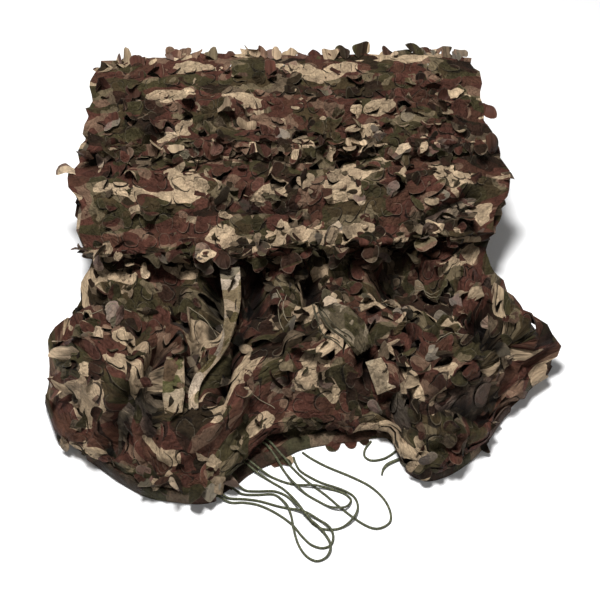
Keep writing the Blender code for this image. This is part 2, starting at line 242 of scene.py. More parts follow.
def needed_heights(points, others, clear):
    """The least height at which each point passes over the other points."""
    apart = np.hypot(points[:, None, 0] - others[None, :, 0], points[:, None, 1] - others[None, :, 1])
    over = others[None, :, 2] + np.sqrt(np.maximum(clear**2 - apart**2, 0))
    return np.maximum(points[:, 2], np.where(apart < clear, over, -1).max(axis=1))


def with_humps(points, heights):
    """The points, lifted to the heights that they need in long, low humps."""
    away = np.abs(np.arange(len(points))[:, None] - np.arange(len(points))[None, :]) * FINE_STEP
    hump = 0.5 + 0.5 * np.cos(np.pi * np.minimum(away / HUMP_REACH, 1))
    lifted = points.copy()
    lifted[:, 2] += (hump * (heights - points[:, 2])[None, :]).max(axis=1)
    return lifted


def lay_cords():
    """The centre line of each cord. Each lies over the ones before it, and over its own earlier run."""
    lines = {}
    for name, route in CORD_ROUTES.items():
        thickness = TAIL_THICK if name == "tie_tail" else CORD_THICK
        clear = thickness + LAID_GAP
        line = smooth_route(route, thickness)
        if lines:
            line = with_humps(line, needed_heights(line, np.vstack(list(lines.values())), clear))
        own_gap = round(OWN_RUN * thickness / FINE_STEP)
        heights = line[:, 2].copy()
        for index in range(own_gap, len(line)):
            heights[index] = needed_heights(line[index : index + 1], line[: index - own_gap + 1], clear)[0]
        lines[name] = with_humps(line, heights)
    return lines


cord_lines = lay_cords()


# %% [markdown]
# A curve with a round bevel would give each cord its tube in one step. Here the rings are laid one by one,
# because the braid needs a UV map in metres, and the flat end of the tie needs its own width and height all
# along.

# %% Sweep a tube along each cord
CORD_SIDES = 8
CORD_STEP = 3
# The tail's width, as shares of its full thickness: at its ends, how much more in between, and how flat it is
TAIL_ENDS = 0.55
TAIL_BULGE = 0.6
TAIL_FLAT = 0.55


# From one corner of a face to the next: (steps round the ring, rings onward)
RING_STEPS = ((0, 0), (0, 1), (1, 1), (1, 0))


def tube(name, line, wide, high):
    """A tube along a line, with its width and height at each point, and a UV map in metres."""
    count = len(line)
    ahead = unit(np.gradient(line, axis=0))
    aside = unit(np.cross(ahead, [0, 0, 1]))
    up = np.cross(aside, ahead)
    turn = np.arange(CORD_SIDES) * 2 * np.pi / CORD_SIDES
    rings = (
        line[:, None]
        + aside[:, None] * np.cos(turn)[None, :, None] * np.broadcast_to(wide, count)[:, None, None] / 2
        + up[:, None] * np.sin(turn)[None, :, None] * np.broadcast_to(high, count)[:, None, None] / 2
    )
    faces = [
        tuple((ring + far) * CORD_SIDES + (side + corner) % CORD_SIDES for corner, far in RING_STEPS)
        for ring in range(count - 1)
        for side in range(CORD_SIDES)
    ]
    points = rings.reshape(-1, 3).tolist() + [line[0].tolist(), line[-1].tolist()]
    start, end, last = len(points) - 2, len(points) - 1, (count - 1) * CORD_SIDES
    faces += [(start, side, (side + 1) % CORD_SIDES) for side in range(CORD_SIDES)]
    faces += [(end, last + (side + 1) % CORD_SIDES, last + side) for side in range(CORD_SIDES)]
    piece = new_piece(name, points, faces)
    along = run_lengths(line)
    layer = piece.data.uv_layers.new(name="braid")
    for face in piece.data.polygons:
        for loop, vertex in zip(face.loop_indices, face.vertices):
            ring, side = divmod(min(vertex, count * CORD_SIDES - 1), CORD_SIDES)
            side += CORD_SIDES if side == 0 and max(face.vertices) % CORD_SIDES == CORD_SIDES - 1 else 0
            layer.data[loop].uv = (side / CORD_SIDES, along[ring])
    return piece


cord_pieces = {}
for name, line in cord_lines.items():
    chosen = line[np.unique(np.append(np.arange(0, len(line), CORD_STEP), len(line) - 1))]
    if name == "tie_tail":
        share = np.linspace(0, 1, len(chosen))
        wide = TAIL_THICK * (TAIL_ENDS + TAIL_BULGE * np.sin(np.pi * np.clip(share * 1.15, 0, 1)) ** 0.8)
        piece = tube("tie_tail_braid", chosen, wide, wide * TAIL_FLAT)
    else:
        piece = tube(name + "_braid", chosen, CORD_THICK, CORD_THICK)
    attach(piece, "root")
    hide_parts(name)
    cord_pieces[name] = piece
print(len(cord_pieces), "cords swept")

# %% [markdown]
# The folded sheet has eleven layers in three tiers. A cloth simulation could fold it, but layers that touch
# over their whole width settle slowly and drift, and the pile would no longer be the CAD model's. So its shape
# is written down: how high each tier stands, where its sides and its front run, and where each fold lies.

# %% The pile's sizes
SHEET_THICK = 0.003
SHEET_WIDTH = 0.62
TIERS = [
    {"name": "apron", "layers": 5, "height": 0.066, "front_height": 0.034, "rise": 0.06, "sink": 0.14},
    {"name": "middle", "layers": 4, "height": 0.138, "front_height": 0.108, "rise": 0.12, "sink": 0.1},
    {"name": "top", "layers": 2, "height": 0.18, "front_height": 0.164, "rise": 0.07, "sink": 0.05},
]
# (y, x of the left side, x of the right side), in millimetres
SIDES = {
    "apron": metres([
        (-250, -315, 290), (-190, -328, 306), (-155, -326, 314), (-130, -321, 338), (-100, -312, 316),
        (-60, -300, 290), (0, -292, 266), (330, -300, 262),
    ]),
    "middle": metres([
        (-10, -292, 258), (50, -302, 266), (110, -318, 288), (330, -300, 262),
    ]),
    "top": metres([
        (130, -298, 276), (220, -302, 264), (330, -296, 254),
    ]),
}
# (thousandths of the width, y of the front edge in millimetres)
FRONTS = {
    "hem": metres([
        (0, -195), (24, -240), (100, -280), (207, -325), (270, -334), (330, -336), (372, -325), (416, -298),
        (482, -276), (520, -262), (570, -254), (630, -249), (712, -246), (732, -282), (770, -303),
        (812, -299), (860, -280), (904, -250), (936, -208), (984, -172), (1000, -152),
    ]),
    "apron": metres([
        (0, -190), (24, -234), (100, -270), (207, -310), (319, -321), (372, -303), (416, -262), (466, -236),
        (540, -231), (630, -232), (700, -236), (726, -268), (768, -293), (808, -290), (856, -271),
        (900, -242), (932, -201), (980, -166), (1000, -147),
    ]),
    "middle": metres([
        (0, -2), (250, -14), (500, -10), (700, 8), (1000, 34),
    ]),
    "top": metres([
        (0, 138), (300, 148), (600, 142), (1000, 160),
    ]),
}
# The layers' front folds, from below: (the edge that it follows, how far behind it lies)
FRONT_FOLDS = [("hem", 0), ("apron", 0.05), ("apron", 0), ("middle", 0.012), ("middle", 0), ("top", 0)]
# The back folds lie this far in front of the back edge, and waver a little
BACK_EDGE = 0.322
BACK_INSETS = [0.006, 0.002, 0.0, 0.005, 0.001, 0.004]
BACK_WAVE = 0.004
WAVES_ACROSS = 9.0
WAVE_SHIFT = 2.0
# The layer under the apron's edge dips to this height between these distances behind the edge
DIP_LAYER = 3
DIP_HEIGHT = 0.0105
DIP_FROM = 0.048
DIP_TO = 0.008
# Swells fade out towards a front edge, from full at one distance behind it to none at the other
SWELL_START = -0.012
SWELL_FULL = 0.043
# Bags, mounds and hollows: (x, y, half width, half length, height), in millimetres, and turn in degrees
SWELLS = {
    "apron": {
        "left_bag": (-235, -205, 75, 80, 40, 20), "left_lobe": (-130, -270, 40, 45, 16, 0),
        "left_dip": (-225, -65, 90, 35, -10, 0), "left_slit": (-160, -235, 18, 55, -26, -8),
        "tape_ridge": (-86, -120, 26, 110, 18, 0), "left_mound": (-12, -150, 36, 50, 18, 10),
        "right_mound": (58, -180, 36, 45, 20, 35), "right_hollow": (110, -35, 85, 36, -22, 12),
        "right_bag": (200, -195, 75, 75, 38, -15), "right_wing": (265, -85, 60, 40, 16, -35),
    },
    "middle": {
        "left_roll": (-240, 90, 70, 45, 8, 0), "right_roll": (90, 85, 110, 40, 10, 4),
    },
    "top": {
        "back_roll": (-50, 285, 200, 40, 6, 0), "front_hollow": (20, 190, 160, 30, -8, 4),
        "back_corner": (200, 295, 80, 45, 8, 0),
    },
}
# The share of the width over which the layers sink towards their side edges
EDGE_SHARE = 0.14
# The tier of each layer, and its place in it
LAYERS = [(tier, place) for tier, row in enumerate(TIERS) for place in range(row["layers"])]
print(len(LAYERS), "layers in", len(TIERS), "tiers")

# %% [markdown]
# Any point of the sheet has two addresses: a share of the width, and a station along the sheet. Station 0 to 1
# is the lowest layer, 1 to 2 the fold that joins it to the next, 2 to 3 the second layer, and so on upwards.
# The functions below carry an address to its place on the pile, many points at a time.

# %% From the flat sheet to the pile
def swell(row, x, y):
    middle_x, middle_y, wide, long, height = metres(row[:5])
    turn = math.radians(row[5])
    across = (x - middle_x) * math.cos(turn) + (y - middle_y) * math.sin(turn)
    along = (y - middle_y) * math.cos(turn) - (x - middle_x) * math.sin(turn)
    return height * np.exp(-((across / wide) ** 2) - (along / long) ** 2)


def tier_height(tier, x, y, share):
    row = TIERS[tier]
    inside = y - read(FRONTS[row["name"]], share)
    height = row["front_height"] + (row["height"] - row["front_height"]) * smooth(inside / row["rise"])
    relief = sum(swell(each, x, y) for each in SWELLS[row["name"]].values())
    return height + relief * smooth((inside - SWELL_START) / (SWELL_FULL - SWELL_START))


def front_edge(number, share):
    follows, inset = FRONT_FOLDS[(number + 1) // 2]
    return read(FRONTS[follows], share) + inset


def back_edge(number, share):
    fold = number // 2
    wave = np.sin(WAVES_ACROSS * share + WAVE_SHIFT * fold)
    return BACK_EDGE - BACK_INSETS[fold] + BACK_WAVE * wave


def layer_height(number, x, y, share):
    tier, place_in_tier = LAYERS[number]
    lowest = SHEET_THICK / 2
    top = tier_height(tier, x, y, share)
    if tier == 0:
        height = lowest + (top - lowest) * place_in_tier / (TIERS[0]["layers"] - 1)
    else:
        under = tier_height(tier - 1, x, y, share)
        height = under + (top - under) * (place_in_tier + 1) / TIERS[tier]["layers"]
    edge = 1 - np.minimum(share, 1 - share) / EDGE_SHARE
    height = lowest + (height - lowest) * (1 - TIERS[tier]["sink"] * smooth(edge))
    if number == DIP_LAYER:
        inside = y - front_edge(number, share)
        height = DIP_HEIGHT + (height - DIP_HEIGHT) * smooth((inside - DIP_TO) / (DIP_FROM - DIP_TO))
    return height


def on_layer(number, share, along):
    front = front_edge(number, share)
    y = front + along * (back_edge(number, share) - front)
    sides = SIDES[TIERS[LAYERS[number][0]]["name"]]
    left, right = read(sides, y, 1), read(sides, y, 2)
    x = left + share * (right - left)
    return np.stack([x, y, layer_height(number, x, y, share)], axis=-1)


def on_fold(number, share, angle):
    at_front = number % 2 == 1
    end = np.full_like(share, 0.0 if at_front else 1.0)
    below, above = on_layer(number, share, end), on_layer(number + 1, share, end)
    middle, half = (below + above) / 2, (above - below) / 2
    outward = np.zeros_like(half)
    outward[..., 1] = (-1 if at_front else 1) * np.linalg.norm(half, axis=-1)
    return middle - half * np.cos(angle)[..., None] + outward * np.sin(angle)[..., None]


def fold_point(share, station):
    """The place on the pile of each (share of the width, station along the sheet)."""
    share, station = np.broadcast_arrays(np.asarray(share, float), np.asarray(station, float))
    places = np.zeros(share.shape + (3,))
    last = 2 * len(LAYERS) - 2
    stretch = np.clip(np.floor(station), 0, last).astype(int)
    for number in np.unique(stretch):
        here = stretch == number
        way = station[here] - number
        layer = number // 2
        if number % 2 == 1:
            places[here] = on_fold(layer, share[here], way * np.pi)
        else:
            places[here] = on_layer(layer, share[here], way if layer % 2 == 0 else 1 - way)
    return places


print("middle of the top layer:", np.round(fold_point(0.5, 20.5), 3))

# %% [markdown]
# Slack cloth bunches in creases and troughs, and these are what a pile of net is known by. They could be
# sculpted, but a stroke can't be read or moved later. Here each is a row: a line from one point to another, with
# its half width and its height.

# %% Creases, one by one
# Each tier's: (x and y of its start, x and y of its end, half width, height or, below 0, depth), in millimetres
CREASES = [
    [
        (-305, -100, -150, -112, 12, 16), (-300, -76, -160, -84, 11, -20), (-156, -130, -158, -280, 9, 16),
        (-138, -120, -143, -250, 10, -42), (-174, -150, -180, -215, 12, -40),
        (-172, -200, -184, -282, 12, -46), (-255, -285, -190, -195, 9, 13),
        (-240, -296, -195, -235, 11, -30), (-240, -298, -120, -300, 8, 8), (-300, -150, -235, -180, 12, 12),
        (-205, -120, -205, -190, 9, -14), (-148, -40, -150, -110, 8, 10), (-116, -20, -112, -130, 11, -44),
        (-62, -12, -60, -90, 13, -46), (-66, -100, -100, -230, 10, -34), (-40, -85, 20, -110, 10, 15),
        (-30, -120, -20, -215, 9, -12), (12, -8, 16, -70, 13, -38), (10, -105, 60, -175, 9, 16),
        (78, -95, 86, -200, 12, -30), (35, -60, 70, -80, 10, 14), (118, 4, 130, -48, 16, -44),
        (150, 18, 235, -40, 11, 18), (195, 6, 262, -30, 9, 14), (180, -34, 325, -120, 10, 18),
        (226, -94, 250, -164, 16, -46), (272, -115, 282, -165, 10, -28), (292, -110, 280, -225, 9, 14),
        (150, -110, 200, -150, 10, 14), (165, -250, 235, -232, 12, -36), (152, -274, 240, -256, 8, 14),
        (132, -255, 180, -200, 9, 14), (110, -215, 128, -262, 10, -30), (235, -185, 238, -235, 9, -14),
    ],
    [
        (168, 34, 244, 82, 11, -24), (185, 55, 240, 100, 9, 9), (225, 15, 262, 50, 9, -14),
        (-300, 128, -245, 100, 10, -14), (-110, 100, -60, 50, 9, -12), (-240, 45, -110, 60, 8, 7),
        (-80, 60, 30, 40, 10, -14),
    ],
    [
        (-240, 160, -120, 186, 7, 9), (-150, 178, -40, 215, 7, 8), (-280, 222, -170, 238, 9, -10),
        (70, 170, 200, 176, 8, 8), (150, 240, 215, 200, 9, -10),
    ],
]
# A crease fades by this share of its length before and past each end
CREASE_FADE = 0.15


def crease_height(x, y, tier):
    """The height that a tier's creases add at each place."""
    total = np.zeros_like(x)
    for x0, y0, x1, y1, wide, height in metres(CREASES[tier]):
        length = math.hypot(x1 - x0, y1 - y0)
        along = ((x - x0) * (x1 - x0) + (y - y0) * (y1 - y0)) / length**2
        away = ((x - x0) * (y1 - y0) - (y - y0) * (x1 - x0)) / length
        starts, ends = (smooth((way + CREASE_FADE) / (2 * CREASE_FADE)) for way in (along, 1 - along))
        total += height * np.exp(-((away / wide) ** 2)) * (starts * ends)
    return total


print([len(rows) for rows in CREASES], "creases placed by hand")

# %% [markdown]
# Between the creases the cloth is crumpled all over. A displacement modifier would lift it straight up, also
# round the folds, where it should push outwards. So noise is added along the way out of the pile: drawn out
# across the tiers, where the net is gathered, and even-sided on the apron.

# %% Crumples
# Stations at which the listed creases grow and fade, with their share of the full depth. Odd layers and
# back folds face down or inwards, so their share is negative.
CREASE_SHARE = [
    (0, 0), (1.99, 0), (2.1, -0.5), (2.9, -0.5), (3.1, 0), (3.9, 0.5), (4.1, 0.8), (4.9, 0.8), (5.2, 0),
    (6, -0.97), (6.75, -0.95), (6.95, 0), (7.5, 0.35), (8, 1), (8.55, 1), (8.8, 0), (15, 0), (15.3, 0.5),
    (15.9, 1), (16.6, 1), (16.9, 0), (19.2, 0), (19.6, 1), (21, 1),
]
# The same for the crumples
CRUMPLE_SHARE = [
    (0, 0), (0.9, 0), (1.5, -0.3), (2, -0.2), (2.8, -0.2), (3.1, 0.2), (4, 0.35), (4.9, 0.2), (5.1, -0.2),
    (6, -0.4), (6.8, -0.3), (7, 0.1), (7.4, 0.8), (8, 1), (8.6, 0.7), (9, -0.3), (9.9, -0.4), (10.8, -0.3),
    (11.1, 0.4), (12.1, 0.6), (12.8, 0.3), (13.1, -0.3), (14, -0.4), (14.8, -0.3), (15.1, 0.5), (16, 1),
    (16.6, 0.8), (16.9, 0.3), (17.1, -0.4), (18, -0.5), (18.8, -0.4), (19.1, 0.5), (19.8, 1), (21, 0.7),
]
# Features of a tier's broad and tight crumples along x, y and z, their seeds, mean rise and two heights
CRUMPLES = [
    ((0.06, 0.055, 0.06), (0.028, 0.026, 0.03), (1, 2), 0.6, (0.0085, 0.0045)),
    ((0.13, 0.036, 0.045), (0.05, 0.018, 0.024), (4, 7), 0.5, (0.0075, 0.004)),
    ((0.13, 0.036, 0.045), (0.05, 0.018, 0.024), (5, 8), 0.5, (0.0075, 0.004)),
]
LAST_STATION = 21
# The middle tier starts at the first of these stations, and the top tier at the second
TIER_STARTS = (8.9, 16.9)
# The side edges are ragged from this distance off the middle line, as a share of the width
RAG_FROM = 0.38
RAG_OVER = 0.12
RAG_REACH = (0.01, 0.014, 0.014)
# The cloth stays this high above the floor
OFF_FLOOR = 0.0035


def tier_at(station):
    """The tier that each station belongs to."""
    return np.where(station < TIER_STARTS[0], 0, np.where(station < TIER_STARTS[1], 1, 2))


def fine_noise(points, scale, seed):
    """Noise from about -1 to 1 at each point, with features of the given size along x, y and z."""
    shift = Vector((17.3, 9.1, 5.7)) * seed
    flat = (points / np.asarray(scale)).reshape(-1, 3)
    found = [noise.noise(Vector(point) + shift) for point in flat]
    return np.array(found).reshape(points.shape[:-1])


def crumple_height(points, tier):
    """How far the crumples push each point outwards. Their ridges are sharp and their hollows round."""
    broad_size, tight_size, seeds, rise, heights = CRUMPLES[tier]
    broad = rise - 2.2 * np.abs(fine_noise(points, broad_size, seeds[0])) ** 0.8
    tight = 0.5 - 2 * np.abs(fine_noise(points, tight_size, seeds[1])) ** 0.9
    return heights[0] * broad + heights[1] * tight


def cloth_point(share, station):
    """The place of each address on the crumpled cloth."""
    share, station = np.broadcast_arrays(np.asarray(share, float), np.asarray(station, float))
    base = fold_point(share, station)
    nearby = 0.004
    after = fold_point(share, np.clip(station + nearby, 0, LAST_STATION))
    before = fold_point(share, np.clip(station - nearby, 0, LAST_STATION))
    aside = fold_point(share + nearby, station) - fold_point(share - nearby, station)
    out = unit(np.cross(aside, after - before))
    height = np.zeros(share.shape)
    tier_of = tier_at(station)
    for tier in range(len(TIERS)):
        here = tier_of == tier
        if here.any():
            height[here] = crumple_height(base[here], tier) * read(CRUMPLE_SHARE, station[here])
            creases = crease_height(base[here][:, 0], base[here][:, 1], tier)
            height[here] += creases * read(CREASE_SHARE, station[here])
    crumpled = base + out * height[..., None]
    rag = fine_noise(np.stack([station * 3.0, base[..., 1] / 0.03, share * 0], axis=-1), (1, 1, 1), 11)
    lean = smooth((np.abs(share - 0.5) - RAG_FROM) / RAG_OVER) * np.sign(share - 0.5)
    crumpled[..., 0] += np.array(RAG_REACH)[tier_of] * rag * lean * smooth(station - 1)
    crumpled[..., 2] = np.maximum(crumpled[..., 2], np.where(station > 0.99, OFF_FLOOR, 0.0))
    return crumpled


def on_tier(tier, x, y):
    """The place on a tier's upper side of each x and y, in (share of the width, station)."""
    number = sum(row["layers"] for row in TIERS[: tier + 1]) - 1
    sides = SIDES[TIERS[tier]["name"]]
    left, right = read(sides, y, 1), read(sides, y, 2)
    share = (x - left) / (right - left)
    along = (y - front_edge(number, share)) / (back_edge(number, share) - front_edge(number, share))
    return share, 2 * number + along


print("crumpled middle of the apron:", np.round(cloth_point(0.5, 8.2), 3))

# %% [markdown]
# The net is made of leaves: round flaps die-cut in the cloth, each held by a short hinge, so that they curl
# out when the net is handled. One leaf could be modelled and scattered as copies, but then the holes that they
# leave would be missing. So the sheet is divided in cells of one leaf each. A cell that can be seen gets its
# frame, its hole and its flap, and one that is buried in the pile gets only a few faces.

# %% Cells of the sheet
COLUMNS = 22
CELL = SHEET_WIDTH / COLUMNS
LAYER_CELLS = [22, 22, 22, 22, 23, 12, 12, 12, 12, 7, 7]
FOLD_CELLS = [1, 1, 1, 3, 1, 1, 1, 1, 1, 1]

row_stations = [0.0]
for layer, count in enumerate(LAYER_CELLS):
    row_stations += [2 * layer + (step + 1) / count for step in range(count)]
    if layer < len(FOLD_CELLS):
        turns = FOLD_CELLS[layer]
        row_stations += [2 * layer + 1 + (step + 1) / turns for step in range(turns)]
row_stations = np.array(row_stations)
ROWS = len(row_stations) - 1
middle_line = fold_point(0.5, np.minimum(row_stations, LAST_STATION - 0.0001))
row_metres = run_lengths(middle_line)
print(ROWS, "rows of", COLUMNS, "cells, along", row_metres[-1].round(2), "m of folded sheet")


# %% Which cells show
SIDE_COLUMNS = 3
# The part of each stretch of the sheet that can be seen, between two shares of its length
SEEN_PARTS = {stretch: (0, 1) for stretch in (1, 5, 7, 9, 11, 13, 15, 17, 19, 20)}
SEEN_PARTS.update({stretch: (0.9, 1) for stretch in (6, 10, 14, 18)})
SEEN_PARTS.update({8: (0, 0.56), 12: (0, 0.08), 16: (0, 0.62)})


def shows(column, row):
    """Whether a cell can be seen from outside the pile."""
    station = (row_stations[row] + row_stations[row + 1]) / 2
    from_side = min(column, COLUMNS - 1 - column)
    if station < 1 or row == ROWS - 1 or from_side == 0:
        return False
    start, end = SEEN_PARTS.get(int(station), (0, 0))
    return from_side < SIDE_COLUMNS or start <= station % 1 < end


showing = np.array([[shows(column, row) for row in range(ROWS)] for column in range(COLUMNS)])
print(int(showing.sum()), "of", showing.size, "cells show")

# %% [markdown]
# Where the cloth lies smooth, its leaves stay nearly shut and only their curved slits show. In the slack,
# gathered places they stand open at all angles. Noise alone would put these places anywhere, so a table lists
# them: soft round spots that make the cloth leafier or smoother than the rest of its tier.

# %% Smooth and leafy places
# How open the leaves of each tier are where nothing else is said, from the apron up
OPEN_AT_LARGE = (0.6, 0.48, 0.42)
# (tier; x, y, half length across and along, in millimetres; how much leafier, or smoother where it is below 0)
LEAFY_PLACES = [
    (2, -150, 250, 110, 50, -0.3), (2, 80, 270, 110, 40, -0.2), (2, 80, 165, 130, 35, 0.4),
    (2, -290, 200, 30, 60, 0.25), (1, -170, 45, 110, 45, -0.42), (1, 140, 40, 60, 30, -0.25),
    (1, -50, 90, 80, 50, 0.4), (1, -20, 20, 80, 30, 0.4), (1, 200, 40, 70, 50, 0.35),
    (1, -280, 110, 40, 40, 0.3), (0, -215, -55, 80, 36, -0.58), (0, -240, -130, 70, 25, 0.25),
    (0, -200, -265, 70, 50, -0.45), (0, -225, -190, 50, 45, -0.4), (0, -155, -200, 30, 60, -0.45),
    (0, -87, -110, 24, 100, -0.6), (0, -118, -205, 24, 35, -0.6), (0, -130, -240, 22, 30, -0.6),
    (0, 60, -130, 30, 36, -0.35), (0, 215, -10, 60, 35, -0.45), (0, 290, -100, 50, 50, -0.35),
    (0, 110, -100, 80, 60, 0.3), (0, 20, -120, 60, 50, 0.2), (0, 35, -235, 90, 22, -0.5),
    (0, -60, -215, 30, 35, -0.4), (0, 195, -240, 60, 30, -0.45),
]
# Leaves near the side edges, and round the apron's front fold, lie closer
EDGE_CALM = 0.3
EDGE_REACH = 0.1
FOLD_CALM = 0.25
# A trough keeps its leaves shut from this depth
TROUGH = 0.012
TROUGH_CALM = 0.4


def leafiness(heart):
    """How open the leaves at the middles of cells are: from 0, where they lie shut, to 1."""
    points = place(heart)
    share, station = address(heart)
    tier_of = tier_at(station)
    open_share = np.array(OPEN_AT_LARGE)[tier_of]
    for tier, *sizes, more in LEAFY_PLACES:
        x, y, wide, long = metres(sizes)
        away = ((points[:, 0] - x) / wide) ** 2 + ((points[:, 1] - y) / long) ** 2
        open_share += np.where(tier_of == tier, more * np.exp(-(away**2)), 0)
    open_share -= EDGE_CALM * smooth(1 - np.minimum(share, 1 - share) / EDGE_REACH)
    open_share -= np.where((station > 7) & (station < 8.0), FOLD_CALM, 0)
    depth = -crease_height(points[:, 0], points[:, 1], 0)
    open_share -= np.where(tier_of == 0, TROUGH_CALM * smooth(depth / TROUGH - 0.2), 0)
    return np.clip(open_share, 0.05, 1)


# (depth of crease, in metres, from which a trough is darker, depth at which it is darkest, how much darker)
TROUGH_TONES = [(0.012, 0.036, 1.75), (0.006, 0.022, 0.9), (0.006, 0.016, 0.6)]


def trough_tone(points, station):
    """The tone of each point that lies in a trough: little light comes into the deepest of them."""
    tone = np.zeros(station.shape)
    tier_of = tier_at(station)
    for tier, (start, full, darker) in enumerate(TROUGH_TONES):
        depth = -crease_height(points[..., 0], points[..., 1], tier)
        tone -= np.where(tier_of == tier, darker * smooth((depth - start) / (full - start)), 0)
    return tone


print(len(LEAFY_PLACES), "leafy or smooth places")

# %% Corners of the cells
luck = np.random.default_rng(7)
JITTER = 0.17
steps_across, steps_along = np.arange(COLUMNS + 1), np.arange(ROWS + 1)
corner_grid = np.stack(np.meshgrid(steps_across, steps_along, indexing="ij"), axis=-1).astype(float)
shift = luck.uniform(-JITTER, JITTER, corner_grid.shape)
shift[0, :, 0] = shift[-1, :, 0] = 0
shift[:, 0, 1] = shift[:, -1, 1] = 0
corners = corner_grid + shift


def address(grid):
    """(share of the width, station) of places given in cells."""
    station = np.interp(grid[..., 1], steps_along, row_stations)
    return grid[..., 0] / COLUMNS, np.minimum(station, LAST_STATION - 0.00001)


def place(grid):
    """The place on the crumpled cloth of places given in cells."""
    return cloth_point(*address(grid))


def in_cell(quads, inner):
    """Carry points of a unit square into cells. quads holds the four corners of each cell."""
    a, b = inner[..., 0:1], inner[..., 1:2]
    c00, c10, c11, c01 = (quads[:, None, index] for index in range(4))
    return c00 * (1 - a) * (1 - b) + c10 * a * (1 - b) + c11 * a * b + c01 * (1 - a) * b


print(corners.shape[0] * corners.shape[1], "corners")

# %% [markdown]
# One leafy cell is a ring of cloth round a hole, and the flap that was cut from the hole. The flap hangs on a
# fifth of the hole's edge. It bends there and curls further towards its tip. A boolean cut would leave slivers
# and uneven faces, so rings of points are numbered once, and every cell uses the same list of faces.

# %% A leafy cell
AROUND = 24
PER_SIDE = AROUND // 4
HINGE = 5
RINGS = (0.68, 0.36)
# Where each vertex of a cell starts in its list: rim, hole edge, free edge of the flap, its rings, its middle
RIM, HOLE, FREE = 0, AROUND, 2 * AROUND
RING = FREE + AROUND - HINGE - 1
MIDDLE = RING + AROUND * len(RINGS)
CELL_POINTS = MIDDLE + 1


def flap_edge(step):
    """The vertex at a step of the flap's edge: shared with the hole along the hinge, and free elsewhere."""
    step %= AROUND
    return HOLE + step if step <= HINGE else FREE + step - HINGE - 1


def flap_faces():
    rounds = [[flap_edge(step) for step in range(AROUND)]]
    rounds += [[RING + AROUND * ring + step for step in range(AROUND)] for ring in range(len(RINGS))]
    faces = []
    for outer, inner in zip(rounds, rounds[1:]):
        for step in range(AROUND):
            onward = (step + 1) % AROUND
            faces.append((outer[step], outer[onward], inner[onward], inner[step]))
    faces += [(rounds[-1][step], rounds[-1][(step + 1) % AROUND], MIDDLE) for step in range(AROUND)]
    return faces


FRAME_FACES = [
    (RIM + step, RIM + (step + 1) % AROUND, HOLE + (step + 1) % AROUND, HOLE + step) for step in range(AROUND)
]
FLAP_FACES = flap_faces()
CELL_CUT = np.zeros(CELL_POINTS)
CELL_CUT[FREE:RING] = 1
# The hole's edge is marked below 0, most at its middle, so that a slit's painted shadow is widest there
SLIT_ENDS = -0.42
CELL_CUT[HOLE + HINGE + 1 : HOLE + AROUND] = SLIT_ENDS - (1 + SLIT_ENDS) * np.sin(
    np.linspace(0, np.pi, AROUND - HINGE - 1)
)

side_steps = np.arange(PER_SIDE) / PER_SIDE
still = side_steps * 0
sides_in = [(side_steps, still), (still + 1, side_steps), (1 - side_steps, still + 1), (still, 1 - side_steps)]
square = np.concatenate([np.stack(side, axis=-1) for side in sides_in])
square_angles = np.arctan2(square[:, 1] - 0.5, square[:, 0] - 0.5)
print(len(FRAME_FACES) + len(FLAP_FACES), "faces in a leafy cell")


# %% [markdown]
# No two leaves of a real net are cut alike, and a row of equal circles would look stamped. Each outline is a
# circle that two waves draw out: one into a tongue, the other into lobes.

# %% Outlines of the leaves
def leaf_outlines(count, uneven=0.0):
    """The edge of each leaf's hole in a unit square: a round, tongue, bean or double-lobed outline.

    uneven makes them all longer and more lobed.
    """
    spread = luck.uniform(0.33, 0.43, (count, 1))
    stretch = luck.choice([0.05, 0.14, 0.22, 0.3], (count, 1), p=[0.2, 0.3, 0.3, 0.2]) + uneven
    lobes = luck.choice([0.0, 0.08, 0.15], (count, 1), p=[0.3, 0.4, 0.3]) + uneven
    turn, lobe_turn = luck.uniform(0, 2 * np.pi, (2, count, 1))
    angles = square_angles[None, :]
    reach = spread * (1 + stretch * np.cos(2 * (angles - turn)) + lobes * np.cos(3 * (angles - lobe_turn)))
    reach = np.clip(reach, 0.2, 0.465)
    return 0.5 + reach[..., None] * np.stack([np.cos(angles), np.sin(angles)], axis=-1)


sample_outline = leaf_outlines(3)[0]
print("an outline spans", np.ptp(sample_outline, axis=0).round(2), "of a cell")

# %% [markdown]
# A leaf that is handled bends sharply at its hinge, and its cloth keeps some curl beyond. A simulation would
# need every leaf's weight and stiffness. An arc is enough: it starts at the hinge's angle and turns steadily.

# %% Opening the leaves
# (share of the leaves, the least and most that they stand open, in degrees)
LIFTS = [(0.44, 6, 20), (0.38, 20, 48), (0.18, 48, 125)]


def lift_angles(open_share):
    """How far each leaf stands open, in radians: most a little, and some of them right over."""
    count = len(open_share)
    kind = luck.choice(len(LIFTS), count, p=[row[0] for row in LIFTS])
    lift = np.zeros(count)
    for number, (share, least, most) in enumerate(LIFTS):
        lift = np.where(kind == number, luck.uniform(least, most, count), lift)
    shut = luck.uniform(2, 8, count)
    opens = luck.uniform(0, 1, count) < open_share * 1.2 - 0.05
    return np.radians(np.where(opens, lift * (0.45 + 0.55 * open_share), shut))


RIPPLES = 5.0
RIPPLE_HEIGHT = 0.0011
# A leaf that stands less open than this, in degrees, follows the folds of the cloth under it
LIES_FROM = 16
LIES_OVER = 8
LIES_ABOVE = 0.0008
LOWEST = 0.0012
# The pile's limits, past which a leaf tip is drawn back: (axis, side, distance), and how far past it may go
LIMITS = ((2, 1, 0.186), (0, 1, 0.348), (0, -1, 0.34), (1, 1, 0.345))
SPARE = 0.012


